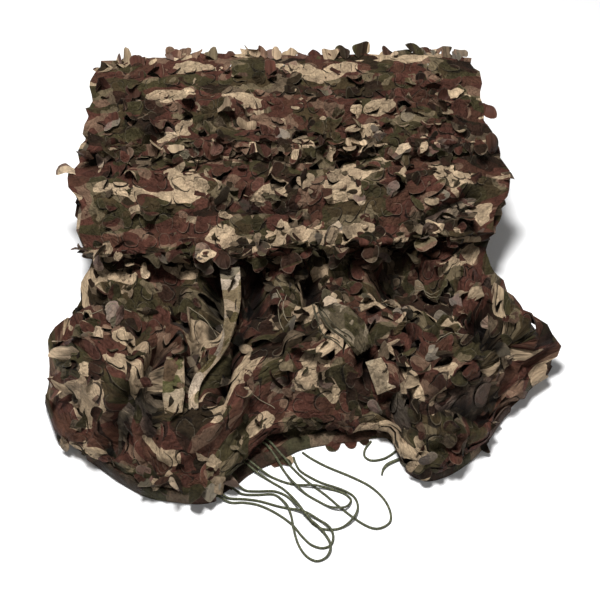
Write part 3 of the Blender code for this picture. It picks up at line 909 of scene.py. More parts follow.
def within_bounds(places):
    """Keep leaf tips above the floor, and near the outline of the pile."""
    kept = places.copy()
    kept[..., 2] = np.maximum(kept[..., 2], LOWEST)
    for axis, side, limit in LIMITS:
        over = side * kept[..., axis] - limit
        kept[..., axis] = np.where(over > 0, side * (limit + SPARE * np.tanh(over / SPARE)), kept[..., axis])
    return kept


def curl_over(distance, start, curl, reach):
    """Along and above the cloth, where a flap has bent by start at its hinge and by curl more at its tip."""
    bend = np.where(np.abs(curl) < 0.02, 0.02, curl) / reach
    angle = start + bend * distance
    return (np.sin(angle) - np.sin(start)) / bend, (np.cos(start) - np.cos(angle)) / bend


def open_leaves(quads, outline, frames, lift, curl, size, cup, anchor=None):
    """Place the flaps of many cells: their free edge, their rings and their middle.

    An anchor in each cell makes it a loose leaf's hinge. Also gives each flap's direction on the cloth.
    """
    count = len(outline)
    hinge_ends = outline[:, [0, HINGE]]
    hinge_middle = hinge_ends.mean(axis=1, keepdims=True)
    chord = unit(hinge_ends[:, 1:2] - hinge_ends[:, 0:1])
    inward = np.stack([-chord[..., 1], chord[..., 0]], axis=-1)
    heart = outline.mean(axis=1, keepdims=True)
    flat = [outline[:, HINGE + 1 :]] + [heart + (outline - heart) * share for share in RINGS] + [heart]
    flat = np.concatenate(flat, axis=1)
    offset = flat - hinge_middle
    distance = (offset * inward).sum(axis=-1)
    aside = (offset * chord).sum(axis=-1)
    grow = 1 + (size - 1) * smooth(distance / 0.3)
    along, above = curl_over(np.maximum(distance, 0) * size * CELL, lift, curl, 0.8 * CELL)
    along += np.minimum(distance, 0) * CELL
    above += cup * CELL * ((aside * grow) ** 2 - 0.03) * smooth(distance / 0.3) * 4
    base_in = hinge_middle + chord * (aside * grow)[..., None] if anchor is None else anchor
    base = place(in_cell(quads, base_in))
    tilt, shift = luck.uniform(0, 2 * np.pi, (2, count, 1))
    ripple = np.cos((offset[..., 0] * np.cos(tilt) + offset[..., 1] * np.sin(tilt)) * RIPPLES + shift)
    above += RIPPLE_HEIGHT * (1 - 2 * np.abs(ripple)) * smooth(distance / 0.25)
    across, onward, out = frames
    flap_in = unit(inward[..., 0:1] * across + inward[..., 1:2] * onward)
    if anchor is not None:
        base = base + np.cross(out, flap_in) * (-aside * grow * CELL)[..., None]
    flaps = base + flap_in * along[..., None] + out * above[..., None]
    if anchor is None:
        above = np.maximum(distance, 0) * CELL * np.sin(lift) * 0.7 + LIES_ABOVE
        lying = place(in_cell(quads, flat)) + out * above[..., None]
        share = smooth((LIES_FROM - np.degrees(lift)) / LIES_OVER)[..., None]
        flaps += (lying - flaps) * share
    return flat, within_bounds(flaps), flap_in


print("a leaf bent by half a turn reaches", [round(float(v), 4) for v in curl_over(0.02, 0.3, 1.5, 0.02)])


# %% Frames of the cells
def cell_frames(quads):
    """The two directions of each cell on the cloth, and the way out of the pile."""
    heart = quads.mean(axis=1, keepdims=True)
    step = 0.25
    across = place(heart + [step, 0]) - place(heart - [step, 0])
    onward = place(heart + [0, step]) - place(heart - [0, step])
    stretch = np.floor(address(heart)[1]).astype(int) % 4
    facing = np.where((stretch == 0) | (stretch == 3), 1.0, -1.0)
    return unit(across), unit(onward), unit(np.cross(across, onward)) * facing[..., None]


def corners_of(cells):
    column, row = cells[:, 0], cells[:, 1]
    turns = ((0, 0), (1, 0), (1, 1), (0, 1))
    return np.stack([corners[column + right, row + up] for right, up in turns], axis=1)


def turned(points, start):
    """Each cell's points, beginning at its own step round the edge."""
    order = (np.arange(AROUND)[None, :] + start[:, None]) % AROUND
    return np.take_along_axis(points, order[..., None], axis=1)


def make_leafy(cells):
    """Points in cells, places, and tones, of the leafy cells."""
    quads = corners_of(cells)
    count = len(cells)
    outline = leaf_outlines(count)
    start = luck.integers(0, AROUND, count)
    outline = turned(outline, start)
    rim = turned(np.repeat(square[None], count, axis=0), start)
    frames = cell_frames(quads)
    heart = quads.mean(axis=1)
    open_share = leafiness(heart)
    lift = lift_angles(open_share)[:, None]
    open_share = open_share[:, None]
    curl = -lift * luck.uniform(0.2, 1.2, (count, 1)) + luck.normal(0, 0.35, (count, 1)) * open_share
    size = 1 + luck.uniform(0.0, 0.22, (count, 1)) * open_share
    cup = luck.normal(0, 0.35, (count, 1)) * open_share
    flat, flaps, flap_in = open_leaves(quads, outline, frames, lift, curl, size, cup)
    tone = np.zeros((count, CELL_POINTS))
    # Painted shade and sheen: each flap is darker or paler at random, more so the further it stands open, for the
    # light that its tilt would catch
    tone[:, FREE:] = luck.uniform(-1, 1, (count, 1)) * (0.45 + 0.55 * smooth(lift / 0.5))
    ring_flat = in_cell(quads, np.concatenate([rim, outline], axis=1))
    grid = np.concatenate([ring_flat, in_cell(quads, flat)], axis=1)
    places = np.concatenate([place(ring_flat), flaps], axis=1)
    # Painted shade in the troughs, where little light comes
    tone += trough_tone(places, np.repeat(address(heart)[1][:, None], CELL_POINTS, axis=1))
    return grid, places, tone


sample_places = make_leafy(np.array([[5, 100], [6, 100]]))[1]
print(sample_places.shape[1], "points in a leafy cell")


# %% Buried cells
def buried_points(cells):
    """Rims of the cells that are not leafy: six steps on a side beside a leafy cell, and two elsewhere."""
    found = []
    for column, row in cells:
        neighbours = [(column, row - 1), (column + 1, row), (column, row + 1), (column - 1, row)]
        rim = []
        for side, (other_column, other_row) in enumerate(neighbours):
            inside = 0 <= other_column < COLUMNS and 0 <= other_row < ROWS
            fine = inside and showing[other_column, other_row]
            step = 1 if fine else PER_SIDE // 2
            rim += [square[side * PER_SIDE + index] for index in range(0, PER_SIDE, step)]
        found.append(np.array(rim + [(0.5, 0.5)]))
    return found


print("a cell among buried ones has", len(buried_points([(10, 30)])[0]), "points")


# %% [markdown]
# The cells make one sheet, so neighbours have to share the points of their rims. Merging by distance would also
# glue layers that only touch. Points are the same here where both their places match: on the flat cloth and on
# the pile. The flat place in metres becomes the UV map, which carries the print.

# %% Join the cells
# The tone of cloth deep in the pile, where no light comes
BURIED_TONE = -1.3
# Points closer than one step of these match: steps in a cell, and in a metre
FLAT_STEPS = 4000
PILE_STEPS = 40000


def join_points(name, grid, places, faces, marks):
    """A mesh object of points given by their place in cells and on the pile. Neighbours share their points.

    marks holds a value for each point: cut_edge is 1 at a leaf's free edge, and below 0 at its hole's edge, and
    leaf_tone runs from -1, painted shade, to 1, a leaf with a pale painted sheen.
    """
    key = np.round(np.concatenate([grid * FLAT_STEPS, places * PILE_STEPS], axis=1)).astype(np.int64)
    first, inverse = np.unique(key, axis=0, return_index=True, return_inverse=True)[1:]
    inverse = inverse.reshape(-1)
    joined = [[int(inverse[vertex]) for vertex in face] for face in faces]
    piece = new_piece(name, places[first].tolist(), joined)
    mesh = piece.data
    flat = grid[first]
    metres = np.stack([flat[:, 0] * CELL, np.interp(flat[:, 1], steps_along, row_metres)], axis=-1)
    corner_of = np.empty(len(mesh.loops), dtype=np.int64)
    mesh.loops.foreach_get("vertex_index", corner_of)
    layer = mesh.uv_layers.new(name="flat")
    layer.data.foreach_set("uv", metres[corner_of].astype(np.float32).ravel())
    for label, values in marks.items():
        mark = mesh.attributes.new(label, "FLOAT", "POINT")
        mark.data.foreach_set("value", np.asarray(values, dtype=np.float32)[first])
    return piece


def buried_tone(column, row):
    """Dark inside the pile, but plain along the sheet's edges, which can be seen."""
    # Painted shade: cloth inside the pile is darkened, as no light reaches it
    return 0.0 if column in (0, COLUMNS - 1) or row in (0, ROWS - 1) else BURIED_TONE


def net_mesh(name, first_row, last_row):
    """The mesh of the sheet between two rows of cells."""
    cells = [(column, row) for row in range(first_row, last_row) for column in range(COLUMNS)]
    leafy = np.array([cell for cell in cells if showing[cell]])
    buried = [cell for cell in cells if not showing[cell]]
    rims = buried_points(buried)
    grid, placed, tone = make_leafy(leafy)
    flat = [in_cell(corners_of(np.array([cell])), rim[None])[0] for cell, rim in zip(buried, rims)]
    flat = np.concatenate(flat)
    grids = np.concatenate([grid.reshape(-1, 2), flat])
    places = np.concatenate([placed.reshape(-1, 3), place(flat)])
    total = len(leafy) * CELL_POINTS
    faces = [
        tuple(base + vertex for vertex in face)
        for base in range(0, total, CELL_POINTS)
        for face in FRAME_FACES + FLAP_FACES
    ]
    for rim in rims:
        around = len(rim) - 1
        faces += [(total + step, total + (step + 1) % around, total + around) for step in range(around)]
        total += len(rim)
    cuts = np.concatenate([np.tile(CELL_CUT, len(leafy)), np.zeros(len(flat))])
    # Buried cells get painted shade, except along the sheet's edges
    plain_tones = [np.full(len(rim), buried_tone(*cell)) for cell, rim in zip(buried, rims)]
    tones = np.concatenate([tone.reshape(-1)] + plain_tones)
    return join_points(name, grids, places, faces, {"cut_edge": cuts, "leaf_tone": tones})


def row_at(station):
    return int(np.searchsorted(row_stations, station - 1e-6))


STRETCHES = {
    "net_lower_layers": (0.0, 7.0),
    "net_apron": (7.0, 9.0),
    "net_middle_tier": (9.0, 17.0),
    "net_top_tier": (17.0, 21.0),
}
net_pieces = {}
for name, (start, end) in STRETCHES.items():
    net_pieces[name] = net_mesh(name, row_at(start), min(row_at(end), ROWS))
    triangles = sum(len(face.vertices) - 2 for face in net_pieces[name].data.polygons)
    print(name, triangles, "triangles")
# %% [markdown]
# A packed net is many thin layers thick, so leaves of the layers beneath show through the holes, and others
# poke out between the folds. More full layers would do this too, at ten times the number of faces. Loose leaves
# that grow from the strips between the holes are enough: those below dip under the sheet and fill its holes, and
# those above stand out from it, and over its edges.

# %% A mesh of loose leaves
# A loose leaf's points are those of a flap alone: its hinge first, then the rest as in a cell
def loose_vertex(vertex):
    return vertex - HOLE if vertex < FREE else vertex - FREE + HINGE + 1


# How much longer and more lobed than the leaves of a cell they are
LOOSE_UNEVEN = 0.08
LOOSE_POINTS = loose_vertex(MIDDLE) + 1
LOOSE_CUT = np.zeros(LOOSE_POINTS)
LOOSE_CUT[HINGE + 1 : AROUND] = 1
LOOSE_FACES = [tuple(loose_vertex(vertex) for vertex in face) for face in FLAP_FACES]


def leaf_mesh(name, cells, anchor, start, lift, curl, size, cup, print_shift, tone):
    """A joined mesh of one leaf in each cell. start is the step of its outline where its hinge begins."""
    quads = corners_of(cells)
    count = len(cells)
    outline = turned(leaf_outlines(count, LOOSE_UNEVEN), start)
    lift, curl, size, cup = (np.asarray(value, float)[:, None] for value in (lift, curl, size, cup))
    frames = cell_frames(quads)
    flat, flaps, flap_in = open_leaves(quads, outline, frames, lift, curl, size, cup, anchor)
    grid = in_cell(quads, np.concatenate([outline[:, : HINGE + 1], flat], axis=1))
    hinge_long = np.linalg.norm(outline[:, HINGE] - outline[:, 0], axis=-1)[:, None, None] * CELL
    ends = np.linspace(-1, 1, HINGE + 1)[None, :, None]
    along_hinge = np.cross(frames[2], flap_in)
    hinge = place(in_cell(quads, anchor)) - along_hinge * (hinge_long / 2) * ends * size[..., None]
    places = within_bounds(np.concatenate([hinge, flaps], axis=1)).reshape(-1, 3)
    bases = range(0, count * LOOSE_POINTS, LOOSE_POINTS)
    faces = [tuple(base + vertex for vertex in face) for base in bases for face in LOOSE_FACES]
    stations = address(quads.mean(axis=1))[1]
    # Each loose leaf's painted shade or sheen, and for dark leaves the troughs' painted shade as well
    tones = np.repeat(tone, LOOSE_POINTS)
    tones += np.where(tones < -0.5, trough_tone(places, np.repeat(stations, LOOSE_POINTS)), 0)
    marks = {"cut_edge": np.tile(LOOSE_CUT, count), "leaf_tone": tones}
    return join_points(name, (grid + print_shift).reshape(-1, 2), places, faces, marks)


print(LOOSE_POINTS, "points in a loose leaf")


# %% Scattered leaves
def scattered_leaves(name, cells, lowest, highest, rising):
    """Leaves at a corner of each cell, lifted by an angle between two limits, in degrees.

    Rising leaves stand only where the net is leafy, and most of them stand low.
    """
    cells = np.array(cells)
    if rising:
        open_share = leafiness(corners_of(cells).mean(axis=1))
        cells = cells[luck.uniform(0, 1, len(cells)) < open_share - 0.12]
    count = len(cells)
    spread = luck.uniform(0, 1, count) ** (2 if rising else 1)
    lift = np.radians(lowest + (highest - lowest) * spread)
    return leaf_mesh(
        name,
        cells,
        anchor=luck.uniform(-0.06, 0.06, (count, 1, 2)),
        start=luck.integers(0, AROUND, count),
        lift=lift,
        curl=-lift * luck.uniform(0.2, 1.2, count) + luck.normal(0, 0.35, count),
        size=luck.uniform(0.8, 1.15, count),
        cup=luck.normal(0, 0.4, count),
        print_shift=luck.uniform(0, 12, (count, 1, 2)),
        # Leaves under the sheet get painted shade, as they lie in its shadow; rising ones get painted shade or
        # sheen at random
        tone=luck.uniform(-0.8, 1.0, count) if rising else luck.uniform(-1.0, -0.5, count),
    )


shown_cells = [(column, row) for column in range(COLUMNS) for row in range(ROWS) if showing[column, row]]
LEAF_STRETCHES = {"apron": (0.0, 9.0), "middle_tier": (9.0, 17.0), "top_tier": (17.0, 21.0)}
leaf_pieces = {}
for name, (start, end) in LEAF_STRETCHES.items():
    here = [cell for cell in shown_cells if start <= row_stations[cell[1]] < end]
    leaf_pieces[name] = [
        scattered_leaves("under_leaves_" + name, here, -28, -6, False),
        scattered_leaves("over_leaves_" + name, here, 6, 75, True),
    ]
    count = sum(len(face.vertices) - 2 for piece in leaf_pieces[name] for face in piece.data.polygons)
    print(name, count, "triangles of loose leaves")

# %% [markdown]
# Some leaves are large and plain to see, at the edges of the tiers and over their fronts. Chance would put them
# anywhere, and dragging each into place by hand would not outlast a change of the folds. So each has a row: its
# place on the sheet, its heading across the cloth (90 degrees is along the sheet, upwards at the fronts), how
# far it stands open and curls, and its size.

# %% Leaves placed one by one
# (share of the width, station, heading, lift, curl, size)
PLACED_LEAVES = [
    (0.02, 20.85, 100, 12, -30, 1.2), (0.06, 20.93, 80, 6, -20, 1.1), (0.19, 20.95, 60, 12, -40, 1.2),
    (0.23, 20.95, 110, 8, -30, 1.1), (0.415, 20.96, 85, 62, 70, 1.0), (0.44, 20.96, 60, 50, 60, 0.9),
    (0.47, 20.95, 40, 30, 30, 0.9), (0.64, 20.94, 100, 8, -20, 1.0), (0.78, 20.95, 70, 10, -20, 1.0),
    (0.88, 20.95, 80, 10, -30, 1.1), (0.95, 20.93, 60, 12, -30, 1.0), (0.01, 16.4, 175, 6, -50, 1.3),
    (0.012, 15.9, 190, 10, -60, 1.3), (0.015, 15.4, 200, 12, -60, 1.3), (0.03, 15.6, 250, 50, -30, 1.3),
    (0.01, 19.4, 190, 10, -50, 1.1), (0.985, 19.5, 350, 10, -50, 1.2), (0.985, 17.0, 0, 8, -50, 1.1),
    (0.98, 16.3, 0, 10, -60, 1.1), (0.3, 15.35, 268, 55, -30, 1.2), (0.345, 15.45, 275, 70, -40, 1.3),
    (0.415, 15.55, 262, 62, -20, 1.2), (0.5, 15.4, 280, 75, -30, 1.2), (0.62, 15.5, 265, 60, -35, 1.4),
    (0.7, 15.35, 270, 80, -30, 1.2), (0.83, 15.45, 275, 60, -30, 1.3), (0.345, 16.22, 300, 85, 20, 1.3),
    (0.43, 19.45, 265, 60, -30, 1.2), (0.64, 19.5, 275, 70, -30, 1.2), (0.76, 19.45, 262, 65, -30, 1.3),
    (0.482, 0.02, 262, 2, -5, 1.2), (0.585, 0.02, 276, 3, -8, 1.1), (0.62, 0.02, 268, 4, -10, 1.2),
    (0.655, 0.02, 272, 2, -6, 1.0), (0.985, 20.35, 350, 4, 15, 1.4), (0.12, 8.2, 150, 45, -20, 1.2),
    (0.08, 8.14, 120, 55, -10, 1.3), (0.2, 8.13, 60, 45, -30, 1.2),
]


def placed_leaves(name, rows):
    table = np.array(rows, float)
    grid = np.stack([table[:, 0] * COLUMNS, np.interp(table[:, 1], row_stations, np.arange(ROWS + 1))], axis=-1)
    cells = np.minimum(np.floor(grid), [COLUMNS - 1, ROWS - 1]).astype(int)
    behind = np.radians(table[:, 2] + 180)[:, None] - square_angles[None, :]
    nearest = np.argmin(1 - np.cos(behind), axis=1)
    return leaf_mesh(
        name,
        cells,
        anchor=(grid - cells)[:, None],
        start=(nearest - HINGE // 2) % AROUND,
        lift=np.radians(table[:, 3]),
        curl=np.radians(table[:, 4]),
        size=table[:, 5],
        cup=luck.normal(0, 0.3, len(table)),
        print_shift=luck.uniform(0, 12, (len(table), 1, 2)),
        # Painted shade or sheen, at random for each leaf
        tone=luck.uniform(-0.4, 0.9, len(table)),
    )


# Rows of smaller leaves along an edge: (how many, station from and to, heading and its spread, lift from and to)
LEAF_ROWS = [
    (34, 20.9, 20.995, 90, 65, 0, 22),
    (64, 19.35, 19.85, 270, 40, 12, 62),
]


def row_of_leaves(count, start, end, heading, spread, lowest, highest):
    share = (np.arange(count) + luck.uniform(0.1, 0.9, count)) / count * 0.94 + 0.03
    limits = ((start, end), (-spread, spread), (lowest, highest), (-50, 30), (0.85, 1.25))
    station, turn, lift, curl, size = (luck.uniform(least, most, count) for least, most in limits)
    return np.column_stack([share, station, heading + turn, lift, curl, size]).tolist()


for row in LEAF_ROWS:
    PLACED_LEAVES += row_of_leaves(*row)
for name, (start, end) in LEAF_STRETCHES.items():
    rows = [row for row in PLACED_LEAVES if start <= row[1] < end]
    leaf_pieces[name].append(placed_leaves("placed_leaves_" + name, rows))
print(len(PLACED_LEAVES), "leaves placed along the edges")

# %% [markdown]
# Every cloth piece shares one print: four flat colours in hard-edged, irregular patches, as woodland cloth has.
# It could be painted as an image, but that blurs close by. Warped noise cut at a level, one colour over another,
# stays sharp. It follows each piece's own UV map, which holds its flat place in metres, so the print runs on
# across slits and folds as on real cloth.

# %% Helpers for shader nodes
def feed(tree, socket, value):
    """Give a socket a link, or a value."""
    if isinstance(value, bpy.types.NodeSocket):
        tree.links.new(value, socket)
    else:
        socket.default_value = value


def add_node(tree, kind, settings=None, inputs=None):
    """Add a node, with its settings, and with values or links for its inputs."""
    node = tree.nodes.new("ShaderNode" + kind)
    for key, value in (settings or {}).items():
        setattr(node, key, value)
    for key, value in (inputs or {}).items():
        feed(tree, node.inputs[key], value)
    return node


def new_group(name, inputs, outputs):
    """A shader node group with the given sockets: (label, kind, value) in, and (label, kind) out."""
    tree = bpy.data.node_groups.new(name, "ShaderNodeTree")
    for label, kind, value in inputs:
        tree.interface.new_socket(label, in_out="INPUT", socket_type="NodeSocket" + kind).default_value = value
    for label, kind in outputs:
        tree.interface.new_socket(label, in_out="OUTPUT", socket_type="NodeSocket" + kind)
    return tree, tree.nodes.new("NodeGroupInput"), tree.nodes.new("NodeGroupOutput")


def new_material(name):
    """A material, its node tree and its shader."""
    material = bpy.data.materials.new(name)
    material.use_nodes = True
    return material, material.node_tree, material.node_tree.nodes["Principled BSDF"]


def maths(tree, operation, first, second=0.0, third=None, use_clamp=False):
    inputs = {0: first, 1: second}
    if third is not None:
        inputs[2] = third
    return add_node(tree, "Math", {"operation": operation, "use_clamp": use_clamp}, inputs).outputs[0]


def scaled(tree, value, share, more, use_clamp=False):
    return maths(tree, "MULTIPLY_ADD", value, share, more, use_clamp)


def vectors(tree, operation, first, second):
    return add_node(tree, "VectorMath", {"operation": operation}, {0: first, 1: second}).outputs[0]


def grey(tree, value):
    return add_node(tree, "CombineXYZ", None, {"X": value, "Y": value, "Z": value}).outputs[0]


def mix(tree, share, below, above, blend="MIX"):
    node = add_node(tree, "Mix", {"data_type": "RGBA", "blend_type": blend})
    for number, value in ((0, share), (6, below), (7, above)):
        feed(tree, node.inputs[number], value)
    return node.outputs[2]


def noise_at(tree, place_in, scale, detail=2.0, roughness=0.5):
    inputs = {"Vector": place_in, "Scale": scale, "Detail": detail, "Roughness": roughness}
    return add_node(tree, "TexNoise", {"noise_dimensions": "2D"}, inputs).outputs


def add_relief(tree, shader, height, strength, distance):
    inputs = {"Strength": strength, "Distance": distance, "Height": height}
    feed(tree, shader.inputs["Normal"], add_node(tree, "Bump", None, inputs).outputs["Normal"])


print("node helpers ready")

# %% The woodland print
PRINT_COLOURS = {
    "Brown": (0.08, 0.031, 0.021, 1),
    "Green": (0.048, 0.039, 0.017, 1),
    "Tan": (0.49, 0.362, 0.232, 1),
    "Dark": (0.021, 0.012, 0.007, 1),
}
# (colour input, shift of its noise, level above which the colour shows)
PRINT_LAYERS = [("Green", (3.1, 7.7, 0), 0.51), ("Tan", (11.3, 2.9, 0), 0.602), ("Dark", (5.9, 17.1, 0), 0.615)]
# How far the patches' edges wander, as a share of a patch
PRINT_WOBBLE = 0.42


def make_print_group():
    sockets = [("Place", "Vector", (0, 0, 0)), ("Patch", "Float", 0.07), ("Gather", "Float", 1.5)]
    sockets += [(label, "Color", colour) for label, colour in PRINT_COLOURS.items()]
    sockets += [(label + " Lift", "Float", 0.0) for label, shift, level in PRINT_LAYERS]
    tree, entry, leave = new_group("woodland_print", sockets, [("Color", "Color")])
    size = maths(tree, "DIVIDE", 1.0, entry.outputs["Patch"])
    tall = maths(tree, "MULTIPLY", size, entry.outputs["Gather"])
    scale = add_node(tree, "CombineXYZ", None, {"X": size, "Y": tall}).outputs[0]
    flat = vectors(tree, "MULTIPLY", entry.outputs["Place"], scale)
    wobble = vectors(tree, "SUBTRACT", noise_at(tree, flat, 1.7, 1.0)["Color"], (0.5, 0.5, 0.5))
    flat = vectors(tree, "ADD", flat, vectors(tree, "MULTIPLY", wobble, (PRINT_WOBBLE, PRINT_WOBBLE, 0)))
    colour = entry.outputs["Brown"]
    for label, shift, level in PRINT_LAYERS:
        field = noise_at(tree, vectors(tree, "ADD", flat, shift), 0.9, 0.6, 0.4)["Fac"]
        field = maths(tree, "ADD", field, entry.outputs[label + " Lift"])
        mask = maths(tree, "GREATER_THAN", field, level)
        colour = mix(tree, mask, colour, entry.outputs[label])
    feed(tree, leave.inputs["Color"], colour)
    return tree


woodland_print = make_print_group()
print(woodland_print.name, len(woodland_print.nodes), "nodes")

# %% [markdown]
# Thin cloth that was packed damp and used for years is mottled and crinkled, with fine creases, and a painted
# shade darkens the fine creases. Geometry for this would need millions of faces. It is colour, roughness and bump
# instead, in one group for every cloth here, so that the tape and the hems have aged as the net has.

# %% Wear, crinkles with painted crease shade, and weave of thin cloth
# The scale of each pattern, per metre
CLOTH_SCALES = {"mottle": 60, "grain": 300, "crinkle": 95, "ridge": 48, "warp": 70, "dents": 80, "weave": 5200}
WARP_REACH = 0.01
FINE_CREASE = 0.026
FINE_CREASE_SHADE_SHARE = 0.24
FINE_CREASE_SHADE = (0.012, 0.008, 0.006, 1)
DENT_EDGE = 0.14


def make_cloth_group():
    """Mottled colour, an uneven roughness, and a height for bump: crinkles and a fine plain weave."""
    sockets = [("Place", "Vector", (0, 0, 0)), ("Color", "Color", (0.5, 0.5, 0.5, 1))]
    results = [("Color", "Color"), ("Roughness", "Float"), ("Height", "Float")]
    tree, entry, leave = new_group("thin_cloth", sockets, results)
    place_in = entry.outputs["Place"]

    def pattern(name, detail=2.0, roughness=0.5):
        return noise_at(tree, place_in, CLOTH_SCALES[name], detail, roughness)

    mottle = pattern("mottle", 3.0, 0.6)["Fac"]
    shade = scaled(tree, mottle, 1.4, -0.17)
    shade = scaled(tree, pattern("grain", 2.0, 0.6)["Fac"], 0.9, shade)
    colour = mix(tree, 1.0, entry.outputs["Color"], grey(tree, shade), "MULTIPLY")
    crinkle = pattern("crinkle", 3.0, 0.62)["Fac"]
    ridge = maths(tree, "ABSOLUTE", maths(tree, "SUBTRACT", pattern("ridge")["Fac"], 0.5))
    warp = vectors(tree, "MULTIPLY", pattern("warp")["Color"], (WARP_REACH, WARP_REACH, 0))
    kind = {"voronoi_dimensions": "2D", "feature": "DISTANCE_TO_EDGE"}
    inputs = {"Vector": vectors(tree, "ADD", place_in, warp), "Scale": CLOTH_SCALES["dents"]}
    dents = add_node(tree, "TexVoronoi", kind, inputs).outputs["Distance"]
    # Painted shade: a dark line along the fine creases, where the bump sinks
    line = maths(tree, "MULTIPLY", maths(tree, "LESS_THAN", dents, FINE_CREASE), FINE_CREASE_SHADE_SHARE)
    colour = mix(tree, line, colour, FINE_CREASE_SHADE)
    dents = maths(tree, "MINIMUM", dents, DENT_EDGE)
    threads_in = vectors(tree, "MULTIPLY", place_in, (CLOTH_SCALES["weave"], CLOTH_SCALES["weave"], 0))
    weave = add_node(tree, "TexChecker", None, {"Vector": threads_in, "Scale": 1.0}).outputs["Fac"]
    height = maths(tree, "MULTIPLY", crinkle, 1.8)
    for part, share in ((ridge, -2.2), (dents, 2.2), (weave, 0.04)):
        height = scaled(tree, part, share, height)
    feed(tree, leave.inputs["Color"], colour)
    feed(tree, leave.inputs["Roughness"], scaled(tree, mottle, 0.35, 0.42))
    feed(tree, leave.inputs["Height"], height)
    return tree


thin_cloth = make_cloth_group()
print(thin_cloth.name, len(thin_cloth.nodes), "nodes")

# %% [markdown]
# On the net itself the large patches lie where they are seen: a spot raises the level of its own colour and
# sinks the others, so that the noise still draws the patch's edge. Painting vertices would tie the patch to the
# size of the faces. Each spot is given by its place on the pile, and carried back to the flat sheet.

# %% Spots of the print
SPOT_LIFT = 0.2
SPOT_EDGE = 1.3
SPOT_WOBBLE = 0.032


def spot_lifts(tree, place_in, tiers):
    """How much each colour of the print is raised or sunk by the spots of these tiers."""
    wobble = vectors(tree, "SUBTRACT", noise_at(tree, place_in, 22, 2.0)["Color"], (0.5, 0.5, 0.5))
    warped = vectors(tree, "ADD", place_in, vectors(tree, "MULTIPLY", wobble, (SPOT_WOBBLE, SPOT_WOBBLE, 0)))
    lifts = {label: 0.0 for label, shift, level in PRINT_LAYERS}
    named = [(tier, colour, rows) for tier in tiers for colour, rows in SPOTS[tier].items()]
    for tier, colour, (x, y, across, along) in [(*each, row) for *each, rows in named for row in metres(rows)]:
        share, station = on_tier(tier, x, y)
        up = float(read(np.column_stack([row_stations, row_metres]), station, 1))
        offset = vectors(tree, "SUBTRACT", warped, (float(share) * SHEET_WIDTH, up, 0))
        offset = vectors(tree, "MULTIPLY", offset, (1 / across, 1 / along, 0))
        away = add_node(tree, "VectorMath", {"operation": "LENGTH"}, {0: offset}).outputs["Value"]
        near = maths(tree, "SUBTRACT", SPOT_EDGE, away, use_clamp=True)
        for label in lifts:
            change = SPOT_LIFT if label == colour else -SPOT_LIFT
            lifts[label] = scaled(tree, near, change, lifts[label])
    return {label + " Lift": lift for label, lift in lifts.items()}


# The spots of each tier, by colour: (x, y, half length across and along), in millimetres
SPOTS = [
    {
        "Brown": [
            (-264, -294, 42, 17), (-262, -170, 30, 30), (-230, -222, 26, 24), (-40, -216, 36, 20),
            (150, -192, 26, 22), (158, -222, 28, 22), (286, -165, 22, 26), (230, -60, 40, 22),
            (290, -110, 20, 40), (-100, -280, 30, 22), (-200, -290, 40, 16),
        ],
        "Green": [(-220, -66, 58, 30), (210, -176, 28, 20), (270, -40, 14, 40), (150, -272, 36, 22)],
        "Tan": [
            (-300, -122, 36, 34), (-262, -128, 42, 20), (-220, -168, 46, 24), (-302, -202, 40, 35),
            (-286, -226, 30, 26), (-253, -253, 40, 27), (-152, -300, 15, 12), (-159, -195, 14, 36),
            (-56, -190, 18, 20), (20, -178, 22, 16), (101, -205, 18, 20), (184, -240, 28, 16),
            (200, -264, 36, 10), (208, -6, 40, 16),
        ],
        "Dark": [(256, -128, 26, 30), (256, -196, 18, 26), (315, -118, 16, 30)],
    },
    {
        "Brown": [
            (-190, 20, 70, 26), (-300, 125, 20, 40), (-95, 125, 40, 26), (180, 74, 46, 24),
            (125, 36, 40, 18),
        ],
        "Green": [(-235, 130, 48, 16), (-262, 48, 36, 16), (60, 46, 50, 20)],
        "Tan": [
            (-161, 100, 44, 22), (-188, 64, 50, 12), (-124, 12, 24, 18), (16, 78, 46, 18),
            (131, 113, 30, 16), (255, 60, 16, 36),
        ],
        "Dark": [(175, 36, 36, 20), (215, 40, 30, 20)],
    },
    {
        "Brown": [(-84, 196, 38, 26), (-252, 270, 40, 30), (0, 190, 80, 25), (180, 235, 66, 40)],
        "Green": [(-255, 200, 42, 24), (-86, 270, 36, 26), (124, 285, 30, 24)],
        "Tan": [
            (-160, 290, 60, 24), (-158, 217, 56, 15), (0, 279, 26, 22), (62, 279, 34, 17),
            (197, 314, 40, 8),
        ],
    },
]
print("spots of", [list(spots) for spots in SPOTS])

# %% [markdown]
# The net's cloth is printed on one side. Its reverse is paler, and a leaf's free edge is paler too: partly the
# freshly cut edge, partly a painted highlight. A slit gets a painted shadow as a dark line, and each leaf gets a
# painted shade or a pale painted sheen at random, for the light that its tilt catches, so it is darker or lighter
# than its neighbour. Troughs and the cloth deep in the pile get painted shade too. All of this could be separate
# materials on separate faces. One material that reads the side of the face and two attributes keeps every leaf
# in one piece.

# %% The net's cloth
REVERSE_PALE = (0.185, 0.15, 0.118, 1)
REVERSE_SHARE = 0.38
# A leaf's free edge is paler: partly the paler cut edge, partly a painted highlight
EDGE_PALE_AND_HIGHLIGHT = (0.28, 0.235, 0.17, 1)
EDGE_AND_HIGHLIGHT_SHOWS = 0.22
# A slit's painted shadow: a dark line along the hole's edge
SLIT_SHADOW = (0.01, 0.007, 0.005, 1)
SLIT_SHADOW_SHARE = 0.8
# The marks above and below which a point belongs to a leaf's pale, highlighted edge or to a slit's painted shadow
EDGE_MARK = 0.8
SLIT_MARK = -0.62
# How far the painted shade darkens and the painted sheen lightens the cloth, the darkest that painted shade goes,
# and the pale, greyish painted sheen of the lightest leaves
TONE_REACH = 0.46
DARKEST = 0.1
SHEEN_PALE = (0.26, 0.225, 0.19, 1)
